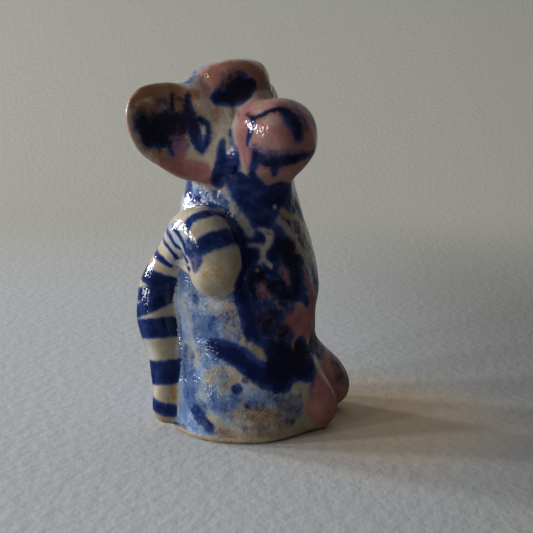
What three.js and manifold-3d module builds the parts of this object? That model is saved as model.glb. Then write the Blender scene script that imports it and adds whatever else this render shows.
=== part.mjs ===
// A hand-modelled monkey in glazed earthenware. It sits upright, looks up over its right
// shoulder, and its ringed tail climbs the back and hooks over that shoulder.
// Eight pieces of clay are luted together with slip and fired as one ornament: the body, the
// head, the muzzle, two ears, the tail and two feet. Nothing on it moves.
// Millimetres, +Z up. The animal faces -Y, so its right side is -X.
import * as THREE from "three";
import { mergeVertices } from "three/addons/utils/BufferGeometryUtils.js";
import Module from "manifold-3d";

// Seams: the film of slip between a piece and what carries it, and the lift off the table
const SLIP_SEAM = 0.3;
const TABLE_CLEARANCE = 1;

// Body: cross-sections from the foot ring up, each with a length front to back and a width
const FOOT_RING_LENGTH = 28.6;
const FOOT_RING_WIDTH = 31.4;
const FOOT_RING_ROUND = 1.2;
const HIP_HEIGHT = 5;
const HIP_LENGTH = 29.4;
const HIP_WIDTH = 30.8;
const WAIST_HEIGHT = 19;
const WAIST_LENGTH = 27.9;
const WAIST_WIDTH = 26.2;
const CHEST_HEIGHT = 28;
const CHEST_LENGTH = 29.2;
const CHEST_WIDTH = 25.2;
const SHOULDER_HEIGHT = 42;
const SHOULDER_LENGTH = 22.8;
const SHOULDER_WIDTH = 21.4;
const NECK_HEIGHT = 54;
const NECK_LENGTH = 14.8;
const NECK_WIDTH = 14.8;
const NECK_DOME = 3;
const HIP_SETBACK = 1.4;
const CHEST_SETBACK = 1.9;
const NECK_SETBACK = 2.3;
const BODY_SQUARENESS = 2.2;

// Hollow pressed up into the body from below, so that the clay fires without cracking
const HOLLOW_MOUTH = 17;
const HOLLOW_TOP = 12;
const HOLLOW_DEPTH = 30;

// Head: nearly round in plan and squarer from top to bottom, turned to the animal's right and
// tipped up, with thumbed eye sockets and a crown that falls away to the back and right
const HEAD_WIDTH = 17.4;
const HEAD_DEPTH = 17.6;
const HEAD_HEIGHT = 20;
const HEAD_PLAN_SQUARENESS = 2.1;
const HEAD_SQUARENESS = 3.6;
const HEAD_SEAT = 4.6;
const HEAD_FORWARD = -4.3;
const HEAD_SIDE = -1.5;
const HEAD_TURN = -32;
const HEAD_TIP = -1;
const CROWN_CUT = 0.17;
const CROWN_SLOPE = 53;
const CROWN_SIDE = 30;
const SOCKET_DEPTH = 0.9;
const SOCKET_REACH = 30;
const SOCKET_SIDE = 52;
const SOCKET_RISE = 18;

// Muzzle: a ball pressed on to the lower front of the head
const MUZZLE_WIDTH = 14.4;
const MUZZLE_LENGTH = 13.6;
const MUZZLE_HEIGHT = 13.6;
const MUZZLE_SQUARENESS = 2.2;
const MUZZLE_SEAT = 3.4;
const MUZZLE_DROP = 4.1;

// Ears: thick dished leaves, swept back and leaning out, that flare where they grow from the head
const EAR_WIDTH = 17.8;
const EAR_HEIGHT = 17.8;
const EAR_THICKNESS = 4.4;
const EAR_ROOT_HEIGHT = 23;
const EAR_ROOT_THICKNESS = 11;
const EAR_DISH = 1.6;
const EAR_SEAT = 5.8;
const EAR_RIGHT_DROP = 3.4;
const EAR_LEFT_DROP = 3.9;
const EAR_BACK = 2.6;
const EAR_RIGHT_SWEEP = 36;
const EAR_LEFT_SWEEP = 28;
const EAR_LEAN = 8;
const EAR_SQUARENESS = 2.7;
const EAR_CUT = 0.36;
const EAR_CUT_FALL = 56;
const EAR_RIM_FULLNESS = 0.6;

// Tail: a roll that climbs the back and hooks over the shoulder. Heights count up from the table
// on the climb and down from the top of the neck on the hook. A sink is how deep the roll is
// pressed into the body.
const TAIL_ROOT_RADIUS = 2.8;
const TAIL_ROOT_SINK = 1.9;
const TAIL_LOW_HEIGHT = 13;
const TAIL_LOW_SINK = 2.2;
const TAIL_MIDDLE_HEIGHT = 22;
const TAIL_CLIMB_RADIUS = 3.3;
const TAIL_MIDDLE_RADIUS = 3.5;
const TAIL_MIDDLE_SINK = 0.6;
const TAIL_BEND_DROP = 26;
const TAIL_BEND_SINK = 1.4;
const TAIL_RISE_DROP = 20.8;
const TAIL_ARCH_DROP = 15.6;
const TAIL_ARCH_RADIUS = 4.3;
const TAIL_SHOULDER_DROP = 15.8;
const TAIL_SHOULDER_RADIUS = 4.8;
const TAIL_TIP_DROP = 21.6;
const TAIL_TIP_RADIUS = 5;
const TAIL_HOOK_SINK = 3;

// The stations on the tail's way, each with its turn from the back towards the right side
const TAIL_STATIONS = [
  { turn: 34, height: TAIL_ROOT_RADIUS + TABLE_CLEARANCE, radius: TAIL_ROOT_RADIUS, sink: TAIL_ROOT_SINK },
  { turn: 33, height: TAIL_LOW_HEIGHT, radius: TAIL_CLIMB_RADIUS, sink: TAIL_LOW_SINK },
  { turn: 28, height: TAIL_MIDDLE_HEIGHT, radius: TAIL_MIDDLE_RADIUS, sink: TAIL_MIDDLE_SINK },
  { turn: 26, height: NECK_HEIGHT - TAIL_BEND_DROP, radius: TAIL_CLIMB_RADIUS, sink: TAIL_BEND_SINK },
  { turn: 35, height: NECK_HEIGHT - TAIL_RISE_DROP, radius: TAIL_CLIMB_RADIUS, sink: TAIL_HOOK_SINK },
  { turn: 60, height: NECK_HEIGHT - TAIL_ARCH_DROP, radius: TAIL_ARCH_RADIUS, sink: TAIL_HOOK_SINK },
  { turn: 72, height: NECK_HEIGHT - TAIL_SHOULDER_DROP, radius: TAIL_SHOULDER_RADIUS, sink: TAIL_HOOK_SINK },
  { turn: 83, height: NECK_HEIGHT - TAIL_TIP_DROP, radius: TAIL_TIP_RADIUS, sink: TAIL_HOOK_SINK },
];

// Feet: blunt wedges that slope down from the belly to the toes
const FOOT_WIDTH = 9.4;
const FOOT_LENGTH = 17.2;
const FOOT_HEIGHT = 11;
const FOOT_SLOPE = 38;
const FOOT_GAP = 0.6;
const FOOT_MIDLINE = 1.2;
const FOOT_SEAT = 3.8;
const FOOT_RIGHT_HEIGHT = 7;
const FOOT_LEFT_HEIGHT = 7.8;
const FOOT_LEFT_FORWARD = 1.4;

// How finely the surfaces are cut into faces
const BODY_SIDES = 44;
const BODY_RINGS = 32;
const HEAD_SIDES = 32;
const HEAD_RINGS = 20;
const MUZZLE_SIDES = 28;
const MUZZLE_RINGS = 18;
const EAR_SIDES = 28;
const EAR_RINGS = 16;
const FOOT_SIDES = 24;
const FOOT_RINGS = 14;
const TAIL_SIDES = 16;
const TAIL_RINGS = 44;
const TAIL_CAP_RINGS = 4;
const HOLLOW_SIDES = 28;
const HOLLOW_CURVE_POINTS = 6;

const wasm = await Module();
wasm.setup();

const radians = THREE.MathUtils.degToRad;

// A three.js geometry with each vertex moved to where place puts it
function shaped(geometry, place) {
  const positions = geometry.getAttribute("position");
  const point = new THREE.Vector3();
  for (let i = 0; i < positions.count; i += 1) {
    point.fromBufferAttribute(positions, i);
    const moved = place(point);
    positions.setXYZ(i, moved.x, moved.y, moved.z);
  }
  return geometry;
}

// A closed geometry as a solid that can be joined and cut
function solidOf(geometry) {
  const bare = geometry.clone();
  bare.deleteAttribute("normal");
  bare.deleteAttribute("uv");
  const merged = mergeVertices(bare, 1e-4);
  return new wasm.Manifold(
    new wasm.Mesh({
      numProp: 3,
      vertProperties: new Float32Array(merged.getAttribute("position").array),
      triVerts: new Uint32Array(merged.index.array),
    }),
  );
}

// A solid as a named mesh in its own glaze
function meshOf(name, solid, material) {
  const cut = solid.getMesh();
  const geometry = new THREE.BufferGeometry();
  geometry.setAttribute("position", new THREE.BufferAttribute(cut.vertProperties, 3));
  geometry.setIndex(new THREE.BufferAttribute(cut.triVerts, 1));
  geometry.computeVertexNormals();
  const mesh = new THREE.Mesh(geometry, material);
  mesh.name = name;
  return mesh;
}

function glaze(color, roughness) {
  return new THREE.MeshStandardMaterial({ color, roughness, metalness: 0 });
}

// How far from the centre a rounded block's surface lies along the unit vector d
function blockReach(d, half, squareness) {
  const sum =
    Math.abs(d.x / half.x) ** squareness +
    Math.abs(d.y / half.y) ** squareness +
    Math.abs(d.z / half.z) ** squareness;
  return sum ** (-1 / squareness);
}

// Half sizes of a block, all grown by the same amount
function halfSizes(width, length, height, grow) {
  return new THREE.Vector3(width / 2 + grow, length / 2 + grow, height / 2 + grow);
}

// The body's sections, blended smoothly from one height to the next
const bodySections = new THREE.CubicInterpolant(
  [0, HIP_HEIGHT, WAIST_HEIGHT, CHEST_HEIGHT, SHOULDER_HEIGHT, NECK_HEIGHT],
  [
    [FOOT_RING_LENGTH, FOOT_RING_WIDTH, HIP_SETBACK],
    [HIP_LENGTH, HIP_WIDTH, HIP_SETBACK],
    [WAIST_LENGTH, WAIST_WIDTH, CHEST_SETBACK],
    [CHEST_LENGTH, CHEST_WIDTH, CHEST_SETBACK],
    [SHOULDER_LENGTH, SHOULDER_WIDTH, NECK_SETBACK],
    [NECK_LENGTH, NECK_WIDTH, NECK_SETBACK],
  ].flat(),
  3,
);

function bodySection(z) {
  const [length, width, setback] = bodySections.evaluate(THREE.MathUtils.clamp(z, 0, NECK_HEIGHT));
  return { length, width, setback };
}

// A point at the height z, in the level direction (dx, dy) from the body's middle, lifted off
// its surface by out
function bodyPoint(dx, dy, z, out) {
  const section = bodySection(z);
  const sum =
    Math.abs((2 * dx) / section.width) ** BODY_SQUARENESS +
    Math.abs((2 * dy) / section.length) ** BODY_SQUARENESS;
  const reach = sum ** (-1 / BODY_SQUARENESS) + out;
  return new THREE.Vector3(dx * reach, dy * reach + section.setback, z);
}

// How much of the full section is left at the height z: the foot ring's edge is rounded and
// the neck ends in a dome
function bodyShare(z, grow) {
  const fromFoot = THREE.MathUtils.clamp(1 - z / FOOT_RING_ROUND, 0, 1);
  const inset = FOOT_RING_ROUND * (1 - Math.sqrt(1 - fromFoot ** 2));
  const upDome = THREE.MathUtils.clamp((z - NECK_HEIGHT) / (NECK_DOME + grow), 0, 1);
  return Math.sqrt(1 - upDome ** 2) * (1 - (2 * inset) / FOOT_RING_LENGTH);
}

function bodyGeometry(grow) {
  const low = -grow;
  const high = NECK_HEIGHT + NECK_DOME + grow;
  return shaped(new THREE.CylinderGeometry(1, 1, 1, BODY_SIDES, BODY_RINGS), (p) => {
    const rise = (1 - Math.cos(Math.PI * (p.y + 0.5))) / 2;
    const z = low + (high - low) * rise;
    const level = Math.hypot(p.x, p.z);
    const middle = new THREE.Vector3(0, bodySection(z).setback, z);
    if (level < 1e-6) return middle;
    const edge = bodyPoint(p.x / level, -p.z / level, z, grow);
    return middle.lerp(edge, Math.min(level, 1) * bodyShare(z, grow));
  });
}

function hollowGeometry() {
  const profile = [new THREE.Vector2(0, -SLIP_SEAM), new THREE.Vector2(HOLLOW_MOUTH / 2, -SLIP_SEAM)];
  const crown = HOLLOW_DEPTH - HOLLOW_TOP / 2;
  for (let i = 0; i < HOLLOW_CURVE_POINTS; i += 1) {
    const angle = (Math.PI / 2) * (i / HOLLOW_CURVE_POINTS);
    const radius = (HOLLOW_TOP / 2) * Math.cos(angle);
    profile.push(new THREE.Vector2(radius, crown + (HOLLOW_TOP / 2) * Math.sin(angle)));
  }
  profile.push(new THREE.Vector2(0, HOLLOW_DEPTH));
  const hollow = new THREE.LatheGeometry(profile, HOLLOW_SIDES);
  return hollow.rotateX(Math.PI / 2).translate(0, HIP_SETBACK, 0);
}

// How deep the two thumbed eye sockets press the head in along the unit vector d
function socketDepth(d) {
  const rise = radians(SOCKET_RISE);
  const side = radians(SOCKET_SIDE);
  let depth = 0;
  for (const flank of [-1, 1]) {
    const middle = new THREE.Vector3(
      flank * Math.cos(rise) * Math.sin(side),
      -Math.cos(rise) * Math.cos(side),
      Math.sin(rise),
    );
    const away = THREE.MathUtils.radToDeg(d.angleTo(middle)) / SOCKET_REACH;
    depth += SOCKET_DEPTH * Math.exp(-(away ** 2));
  }
  return depth;
}

// How far from the centre the head's block reaches along the unit vector d: an oval in plan, drawn
// up into a squarer shape, less a share where the crown slopes away
function headReach(d, half) {
  const plan =
    Math.abs(d.x / half.x) ** HEAD_PLAN_SQUARENESS +
    Math.abs(d.y / half.y) ** HEAD_PLAN_SQUARENESS;
  const level = plan ** (1 / HEAD_PLAN_SQUARENESS);
  const sum = level ** HEAD_SQUARENESS + Math.abs(d.z / half.z) ** HEAD_SQUARENESS;
  const block = sum ** (-1 / HEAD_SQUARENESS);
  const slope = radians(CROWN_SLOPE);
  const side = radians(CROWN_SIDE);
  const back = d.y * Math.cos(side) - d.x * Math.sin(side);
  const facing = back * Math.cos(slope) + d.z * Math.sin(slope);
  return block * (1 - CROWN_CUT * THREE.MathUtils.clamp(facing, 0, 1) ** 6);
}

function headGeometry(grow) {
  const half = halfSizes(HEAD_WIDTH, HEAD_DEPTH, HEAD_HEIGHT, grow);
  const ball = new THREE.SphereGeometry(1, HEAD_SIDES, HEAD_RINGS).rotateX(Math.PI / 2);
  return shaped(ball, (p) => {
    const d = p.clone().normalize();
    return d.multiplyScalar(headReach(d, half) - socketDepth(d));
  });
}

function muzzleGeometry() {
  const ball = new THREE.SphereGeometry(1, MUZZLE_SIDES, MUZZLE_RINGS).rotateX(Math.PI / 2);
  const half = halfSizes(MUZZLE_WIDTH, MUZZLE_LENGTH, MUZZLE_HEIGHT, 0);
  const forward = HEAD_DEPTH / 2 + MUZZLE_LENGTH / 2 - MUZZLE_SEAT;
  return shaped(ball, (p) => {
    const d = p.clone().normalize();
    return d.multiplyScalar(blockReach(d, half, MUZZLE_SQUARENESS));
  }).translate(0, -forward, -MUZZLE_DROP);
}

// A leaf in its own frame: outline in x and z, thickness in y, its lower outer side cut away on
// the slant and its front dished. From its middle to its root it grows taller and thicker.
// side is -1 for the right ear and 1 for the left.
function earGeometry(side, drop, sweep) {
  const ball = new THREE.SphereGeometry(1, EAR_SIDES, EAR_RINGS).rotateX(-Math.PI / 2);
  const leaf = shaped(ball, (p) => {
    const across = Math.hypot(p.x, p.y);
    const dx = across > 0 ? p.x / across : 0;
    const dz = across > 0 ? p.y / across : 0;
    const round = (Math.abs(dx) ** EAR_SQUARENESS + Math.abs(dz) ** EAR_SQUARENESS) ** (-1 / EAR_SQUARENESS);
    const slant = side * dx * Math.cos(radians(EAR_CUT_FALL)) - dz * Math.sin(radians(EAR_CUT_FALL));
    const left = 1 - EAR_CUT * THREE.MathUtils.clamp(slant, 0, 1) ** 2;
    const reach = across > 0 ? across * round * left : 0;
    const thick = Math.sign(p.z) * Math.abs(p.z) ** EAR_RIM_FULLNESS;
    const dish = EAR_DISH * (0.5 - across ** 2);
    const root = THREE.MathUtils.clamp(-side * dx * reach, 0, 1) ** 2;
    const thickness = THREE.MathUtils.lerp(EAR_THICKNESS, EAR_ROOT_THICKNESS, root);
    const height = THREE.MathUtils.lerp(EAR_HEIGHT, EAR_ROOT_HEIGHT, root);
    return new THREE.Vector3(
      (dx * reach * EAR_WIDTH) / 2,
      (-thick * thickness) / 2 + dish,
      (dz * reach * height) / 2,
    );
  });
  const out = HEAD_WIDTH / 2 + EAR_WIDTH / 2 - EAR_SEAT;
  return leaf
    .rotateY(radians(-side * EAR_LEAN))
    .rotateZ(side * sweep)
    .translate(side * out, EAR_BACK, -drop);
}

// The tail: a capsule bent along a curve on the body's surface, with a changing radius
function tailGeometry() {
  const points = TAIL_STATIONS.map(({ turn, height, radius, sink }) => {
    const angle = radians(turn);
    return bodyPoint(-Math.sin(angle), Math.cos(angle), height, radius - sink);
  });
  const route = new THREE.CatmullRomCurve3(points);
  const girth = new THREE.CubicInterpolant(
    TAIL_STATIONS.map((_, i) => i / (TAIL_STATIONS.length - 1)),
    TAIL_STATIONS.map((station) => station.radius),
    1,
  );
  const capsule = new THREE.CapsuleGeometry(1, 1, TAIL_CAP_RINGS, TAIL_SIDES, TAIL_RINGS);
  const outward = new THREE.Vector3(-1, 0.2, 0.1);
  return shaped(capsule, (p) => {
    const along = THREE.MathUtils.clamp(p.y + 0.5, 0, 1);
    const past = p.y + 0.5 - along;
    const tangent = route.getTangent(along);
    const across = new THREE.Vector3().crossVectors(outward, tangent).normalize();
    const up = new THREE.Vector3().crossVectors(tangent, across);
    const radius = girth.evaluate(along)[0];
    return route
      .getPoint(along)
      .addScaledVector(across, p.z * radius)
      .addScaledVector(up, p.x * radius)
      .addScaledVector(tangent, past * radius);
  });
}

// A foot on the given side of the midline, its middle at the given height and set forward
function footGeometry(side, height, forward) {
  const ball = new THREE.SphereGeometry(1, FOOT_SIDES, FOOT_RINGS).rotateX(Math.PI / 2);
  const half = halfSizes(FOOT_WIDTH, FOOT_LENGTH, FOOT_HEIGHT, 0);
  const wedge = shaped(ball, (p) => {
    const d = p.clone().normalize();
    return d.multiplyScalar(blockReach(d, half, BODY_SQUARENESS));
  });
  const sideways = FOOT_MIDLINE + (side * (FOOT_WIDTH + FOOT_GAP)) / 2;
  const section = bodySection(height);
  const belly = section.length / 2 - section.setback;
  return wedge
    .rotateX(radians(FOOT_SLOPE))
    .translate(sideways, -(belly - FOOT_SEAT + forward), height);
}

// The table that the ornament stands on, for trimming the soles level
function tableGeometry() {
  const spread = 2 * (HIP_LENGTH + FOOT_LENGTH);
  const depth = FOOT_LENGTH + FOOT_HEIGHT;
  return new THREE.BoxGeometry(spread, spread, depth).translate(0, 0, -depth / 2);
}

const figure = new THREE.Group();

const bodySeat = solidOf(bodyGeometry(SLIP_SEAM));
const body = solidOf(bodyGeometry(0)).subtract(solidOf(hollowGeometry()));
figure.add(meshOf("body", body, glaze(0x8a94ac, 0.22)));

// The head and what it carries are made in the head's own turned frame
const headGroup = new THREE.Group();
headGroup.position.set(HEAD_SIDE, -HEAD_FORWARD, NECK_HEIGHT + HEAD_HEIGHT / 2 - HEAD_SEAT);
headGroup.rotation.set(radians(HEAD_TIP), 0, radians(HEAD_TURN), "ZXY");
headGroup.updateMatrix();
figure.add(headGroup);

const toHead = headGroup.matrix.clone().invert();
const neckSeat = solidOf(bodyGeometry(SLIP_SEAM).applyMatrix4(toHead));
const headSeat = solidOf(headGeometry(SLIP_SEAM)).add(neckSeat);
const head = solidOf(headGeometry(0)).subtract(neckSeat);
headGroup.add(meshOf("head", head, glaze(0x8d7468, 0.25)));

const muzzle = solidOf(muzzleGeometry()).subtract(headSeat);
headGroup.add(meshOf("muzzle", muzzle, glaze(0x9a716c, 0.22)));

for (const [name, side, drop, sweep] of [
  ["ear_right", -1, EAR_RIGHT_DROP, radians(EAR_RIGHT_SWEEP)],
  ["ear_left", 1, EAR_LEFT_DROP, radians(EAR_LEFT_SWEEP)],
]) {
  const ear = solidOf(earGeometry(side, drop, sweep)).subtract(headSeat);
  headGroup.add(meshOf(name, ear, glaze(0x5b4a4e, 0.25)));
}

const tail = solidOf(tailGeometry()).subtract(bodySeat);
figure.add(meshOf("tail", tail, glaze(0x3f4b78, 0.22)));

const table = solidOf(tableGeometry());
for (const [name, side, height, forward] of [
  ["foot_right", -1, FOOT_RIGHT_HEIGHT, 0],
  ["foot_left", 1, FOOT_LEFT_HEIGHT, FOOT_LEFT_FORWARD],
]) {
  const foot = solidOf(footGeometry(side, height, forward)).subtract(bodySeat).subtract(table);
  figure.add(meshOf(name, foot, glaze(0x8a655f, 0.28)));
}

// The origin is on the table, under the middle of the whole ornament
const middle = new THREE.Box3().setFromObject(figure, true).getCenter(new THREE.Vector3());
figure.position.set(-middle.x, -middle.y, 0);

const monkey = new THREE.Group();
monkey.name = "ceramic_monkey";
monkey.add(figure);

export default monkey;
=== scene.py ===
# %% [markdown]
# # A hand-painted ceramic monkey
# The ornament is about 70 mm tall. It was pinched from eight lumps of clay, luted together with wet slip,
# painted with oxides and dipped in a clear glaze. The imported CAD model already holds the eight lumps, so it
# is loaded first and fixes every size. This lesson then gives each lump its fired skin: a fine surface that
# flows into its neighbours, brush marks that follow the clay, and a glossy glaze.

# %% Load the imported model
import bpy
import numpy as np
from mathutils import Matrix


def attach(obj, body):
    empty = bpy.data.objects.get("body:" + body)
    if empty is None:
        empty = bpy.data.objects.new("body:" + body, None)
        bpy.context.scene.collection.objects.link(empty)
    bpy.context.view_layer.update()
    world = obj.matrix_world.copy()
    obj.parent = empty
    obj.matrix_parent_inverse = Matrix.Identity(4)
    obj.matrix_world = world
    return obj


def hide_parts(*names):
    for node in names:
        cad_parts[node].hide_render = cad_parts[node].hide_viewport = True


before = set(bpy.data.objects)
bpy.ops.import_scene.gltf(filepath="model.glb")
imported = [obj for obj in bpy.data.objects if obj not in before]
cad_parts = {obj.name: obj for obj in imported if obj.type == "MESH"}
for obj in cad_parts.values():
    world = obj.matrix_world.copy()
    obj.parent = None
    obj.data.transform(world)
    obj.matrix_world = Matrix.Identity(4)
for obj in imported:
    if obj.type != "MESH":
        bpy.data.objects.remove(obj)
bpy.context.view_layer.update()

# %% [markdown]
# ## One set of axes
# Ceramic sizes are easiest to think about in millimetres with the body's own axis at the middle, so the
# shapes are worked out that way: the animal looks along -Y, its right side is -X and up is +Z. The packed
# frame has its origin under the middle of the whole ornament, so one fixed shift and a factor of a thousand
# lead from one to the other.

# %% From figure millimetres to frame metres
FIGURE_SHIFT = np.array((0.5452, -1.0489, 0.0))
METRES_PER_MM = 0.001


def to_frame(points):
    """Figure millimetres to frame metres: add the shift, then divide by a thousand."""
    return (points + FIGURE_SHIFT) * METRES_PER_MM


print("the body's axis in the frame:", to_frame(np.zeros(3)))

# %% [markdown]
# ## The camera
# The photograph was taken from the animal's right, slightly from the front and a little above. The camera
# comes first because the brush marks are placed by looking through it. It could be turned by hand until it
# fits; here it follows from a focal length in pixels, the row of the horizon, and where the body's axis
# falls in the square picture.

# %% Camera at the photograph's view
PHOTO_SIZE = 533
FOCAL_PX = 900
HORIZON_PX = 85
AXIS_PX = 252
CAMERA_TURN = np.radians(-80)
CAMERA_DISTANCE = 170
CAMERA_HEIGHT = 64.5
SENSOR_WIDTH = 36
NEAREST_VIEW = 0.005

UP = np.array((0.0, 0.0, 1.0))
to_camera = np.array((np.sin(CAMERA_TURN), -np.cos(CAMERA_TURN), 0.0))
picture_right = np.cross(-to_camera, UP)
tilt = np.arctan((PHOTO_SIZE / 2 - HORIZON_PX) / FOCAL_PX)
look = -to_camera * np.cos(tilt) - UP * np.sin(tilt)
picture_up = np.cross(picture_right, look)
axis_offset = (PHOTO_SIZE / 2 - AXIS_PX) / FOCAL_PX * CAMERA_DISTANCE
eye = to_camera * CAMERA_DISTANCE + picture_right * axis_offset + UP * CAMERA_HEIGHT

camera_data = bpy.data.cameras.new("photo_camera")
camera_data.sensor_width = SENSOR_WIDTH
camera_data.lens = FOCAL_PX / PHOTO_SIZE * SENSOR_WIDTH
camera_data.clip_start = NEAREST_VIEW
camera = bpy.data.objects.new("photo_camera", camera_data)
pose = np.eye(4)
pose[:3, :3] = np.stack((picture_right, picture_up, -look), axis=1)
pose[:3, 3] = to_frame(eye)
camera.matrix_world = pose.T.tolist()
bpy.context.scene.collection.objects.link(camera)
bpy.context.scene.camera = camera
print("lens", round(camera_data.lens, 2), "mm, tilted down", round(np.degrees(tilt), 1), "degrees")

# %% [markdown]
# ## Each lump as a field
# To let the lumps flow into each other, each one is described twice: as a grid of points, and as a field, a
# function that gives about how far a point lies outside the lump, negative inside. Fields can be blended,
# which meshes can't. The body is a stack of squarish ovals; smooth curves carry their length, width and
# setback from height to height.

# %% The body's sections
BODY_HEIGHTS = np.array((0, 5, 19, 28, 42, 54.0))
BODY_SIZES = np.array((
    (28.6, 31.4, 1.4),
    (29.4, 30.8, 1.4),
    (27.9, 26.2, 1.9),
    (29.2, 25.2, 1.9),
    (22.8, 21.4, 2.3),
    (14.8, 14.8, 2.3),
))
BODY_SQUARENESS = 2.2
NECK_HEIGHT = 54
NECK_DOME = 3
FOOT_ROUND = 1.2


def smooth_table(x, knots, values):
    """Cubic Hermite curve through the knots; the slope at a knot is the mean of those on its two sides."""
    steps = np.diff(values, axis=0) / np.diff(knots)[:, None]
    slopes = np.vstack((steps[:1], (steps[1:] + steps[:-1]) / 2, steps[-1:]))
    x = np.clip(x, knots[0], knots[-1])
    i = np.clip(np.searchsorted(knots, x, side="right") - 1, 0, len(knots) - 2)
    gap = (knots[i + 1] - knots[i])[..., None]
    t = (x - knots[i])[..., None] / gap
    rise = t * t * (3 - 2 * t)
    bend = t * (1 - t) * ((1 - t) * slopes[i] - t * slopes[i + 1]) * gap
    return values[i] * (1 - rise) + values[i + 1] * rise + bend


def body_reach(dx, dy, z):
    """Reach of the oval at height z along the level direction (dx, dy), and the oval's setback.
    reach = (|2 dx / width|^n + |2 dy / length|^n)^(-1/n)"""
    length, width, setback = np.moveaxis(smooth_table(z, BODY_HEIGHTS, BODY_SIZES), -1, 0)
    share = np.abs(2 * dx / width) ** BODY_SQUARENESS + np.abs(2 * dy / length) ** BODY_SQUARENESS
    return np.maximum(share, 1e-9) ** (-1 / BODY_SQUARENESS), setback


def foot_inset(z):
    """How far the quarter-round at the foot ring's edge has come in at height z."""
    low = np.clip(1 - z / FOOT_ROUND, 0, 1)
    return FOOT_ROUND * (1 - np.sqrt(1 - low**2))


def body_field(p):
    """Level distance from the axis less the reach; above the neck the oval shrinks as a dome."""
    x, y, z = np.moveaxis(p, -1, 0)
    setback = body_reach(np.ones_like(x), np.zeros_like(x), z)[1]
    level = np.hypot(x, y - setback) + 1e-6
    reach = body_reach(x / level, (y - setback) / level, z)[0] - foot_inset(z)
    over = np.maximum(z - NECK_HEIGHT, 0)
    share = np.sqrt((level / reach) ** 2 + (over / NECK_DOME) ** 2)
    return np.hypot(level, over) * (1 - 1 / np.maximum(share, 1e-3))


print("body field 20 mm in front of the waist:", body_field(np.array([(0.0, -20.0, 19.0)])).round(2))

# %% [markdown]
# ## Head, muzzle and feet
# These are rounded blocks: spheres pulled out towards the corners of a box. The head is turned to the
# animal's right and tipped up, and carries the muzzle and ears, so those are described in the head's own
# axes.

# %% Rounded blocks
HEAD_CENTRE = np.array((-1.5, 4.3, 59.4))
HEAD_TURN = -32
HEAD_TIP = -1
MUZZLE_CENTRE = np.array((0.0, -12.2, -4.1))
MUZZLE_HALF = np.array((7.2, 6.8, 6.8))
MUZZLE_SQUARENESS = 2.2
FOOT_HALF = np.array((4.7, 8.6, 5.5))
FOOT_CENTRES = {"foot_right": np.array((-3.8, -9.47, 7.0)), "foot_left": np.array((6.2, -10.87, 7.8))}
FOOT_TIP = 38


def turn(axis, degrees):
    """Rotation matrix about one axis (0 is x, 1 is y, 2 is z), right-handed."""
    a, b = np.roll(np.arange(3), -axis)[1:]
    matrix = np.eye(3)
    matrix[a, a] = matrix[b, b] = np.cos(np.radians(degrees))
    matrix[b, a] = np.sin(np.radians(degrees))
    matrix[a, b] = -matrix[b, a]
    return matrix


HEAD_AXES = turn(2, HEAD_TURN) @ turn(0, HEAD_TIP)
FOOT_AXES = turn(0, FOOT_TIP)


def to_head(p):
    """Figure points in the head's own axes."""
    return (p - HEAD_CENTRE) @ HEAD_AXES


def from_head(q):
    """Points in the head's own axes, back in the figure's."""
    return q @ HEAD_AXES.T + HEAD_CENTRE


def block_reach(d, half, squareness):
    """Reach of a rounded block along the unit vectors d: (sum of |d / half|^n)^(-1/n)."""
    return (np.abs(d / half) ** squareness).sum(-1) ** (-1 / squareness)


print("the head looks along", from_head(np.array((0.0, -1.0, 0.0))) - HEAD_CENTRE)

# %% [markdown]
# ## Thumb marks and crown
# The head is no plain block. Seen from above it is nearly round, its crown slopes down to the back, and two
# thumbs pressed the eye sockets in.

# %% The head's reach
HEAD_HALF = np.array((8.7, 8.8, 10.0))
HEAD_SQUARENESS = 3.6
HEAD_PLAN_SQUARENESS = 2.1
CROWN_SLOPE = np.array((-0.301, 0.521, 0.799))
CROWN_CUT = 0.17
CROWN_FADE = 6
SOCKET_DEPTH = 0.9
SOCKET_REACH = np.radians(30)
SOCKET_RISE = np.radians(18)
SOCKET_SIDE = np.radians(52)


def socket_depth(d):
    """Two thumb marks: depth times exp(-(angle from the socket's middle / reach)^2)."""
    level = np.cos(SOCKET_RISE)
    depth = 0
    for flank in (-1, 1):
        middle = (flank * level * np.sin(SOCKET_SIDE), -level * np.cos(SOCKET_SIDE), np.sin(SOCKET_RISE))
        away = np.arccos(np.clip(d @ np.array(middle), -1, 1))
        depth = depth + SOCKET_DEPTH * np.exp(-((away / SOCKET_REACH) ** 2))
    return depth


def head_reach(d):
    """The block's reach, less a share where the crown slopes down to the back, less the thumb marks."""
    slope = np.clip(d @ CROWN_SLOPE, 0, 1) ** CROWN_FADE
    x, y, z = np.moveaxis(np.abs(d / HEAD_HALF), -1, 0)
    level = (x**HEAD_PLAN_SQUARENESS + y**HEAD_PLAN_SQUARENESS) ** (1 / HEAD_PLAN_SQUARENESS)
    block = (level**HEAD_SQUARENESS + z**HEAD_SQUARENESS) ** (-1 / HEAD_SQUARENESS)
    return block * (1 - CROWN_CUT * slope) - socket_depth(d)


print("from its centre the head reaches", head_reach(UP).round(2), "mm up")

# %% [markdown]
# ## Chains and soft joints
# Two small tools come up again and again. One is the distance to a chain of tapering rods: here for a bead
# of slip that was smeared up before the near ear, later for brush strokes. The other is a smooth minimum,
# which joins two fields with a soft fillet.

# %% Fields of the head, muzzle and feet
RIDGE = np.array(((-8.2, -0.1, 5.2), (-8.5, -0.8, 3.2), (-8.5, -1.7, 0.4), (-8.1, -2.8, -2.6)))
RIDGE_RADII = np.array((0.9, 1.25, 1.25, 0.8))
RIDGE_SOFTNESS = 1.6


def ray(p):
    """Splits points into their distance from the origin and their direction."""
    length = np.linalg.norm(p, axis=-1) + 1e-9
    return length, p / length[..., None]


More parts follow.
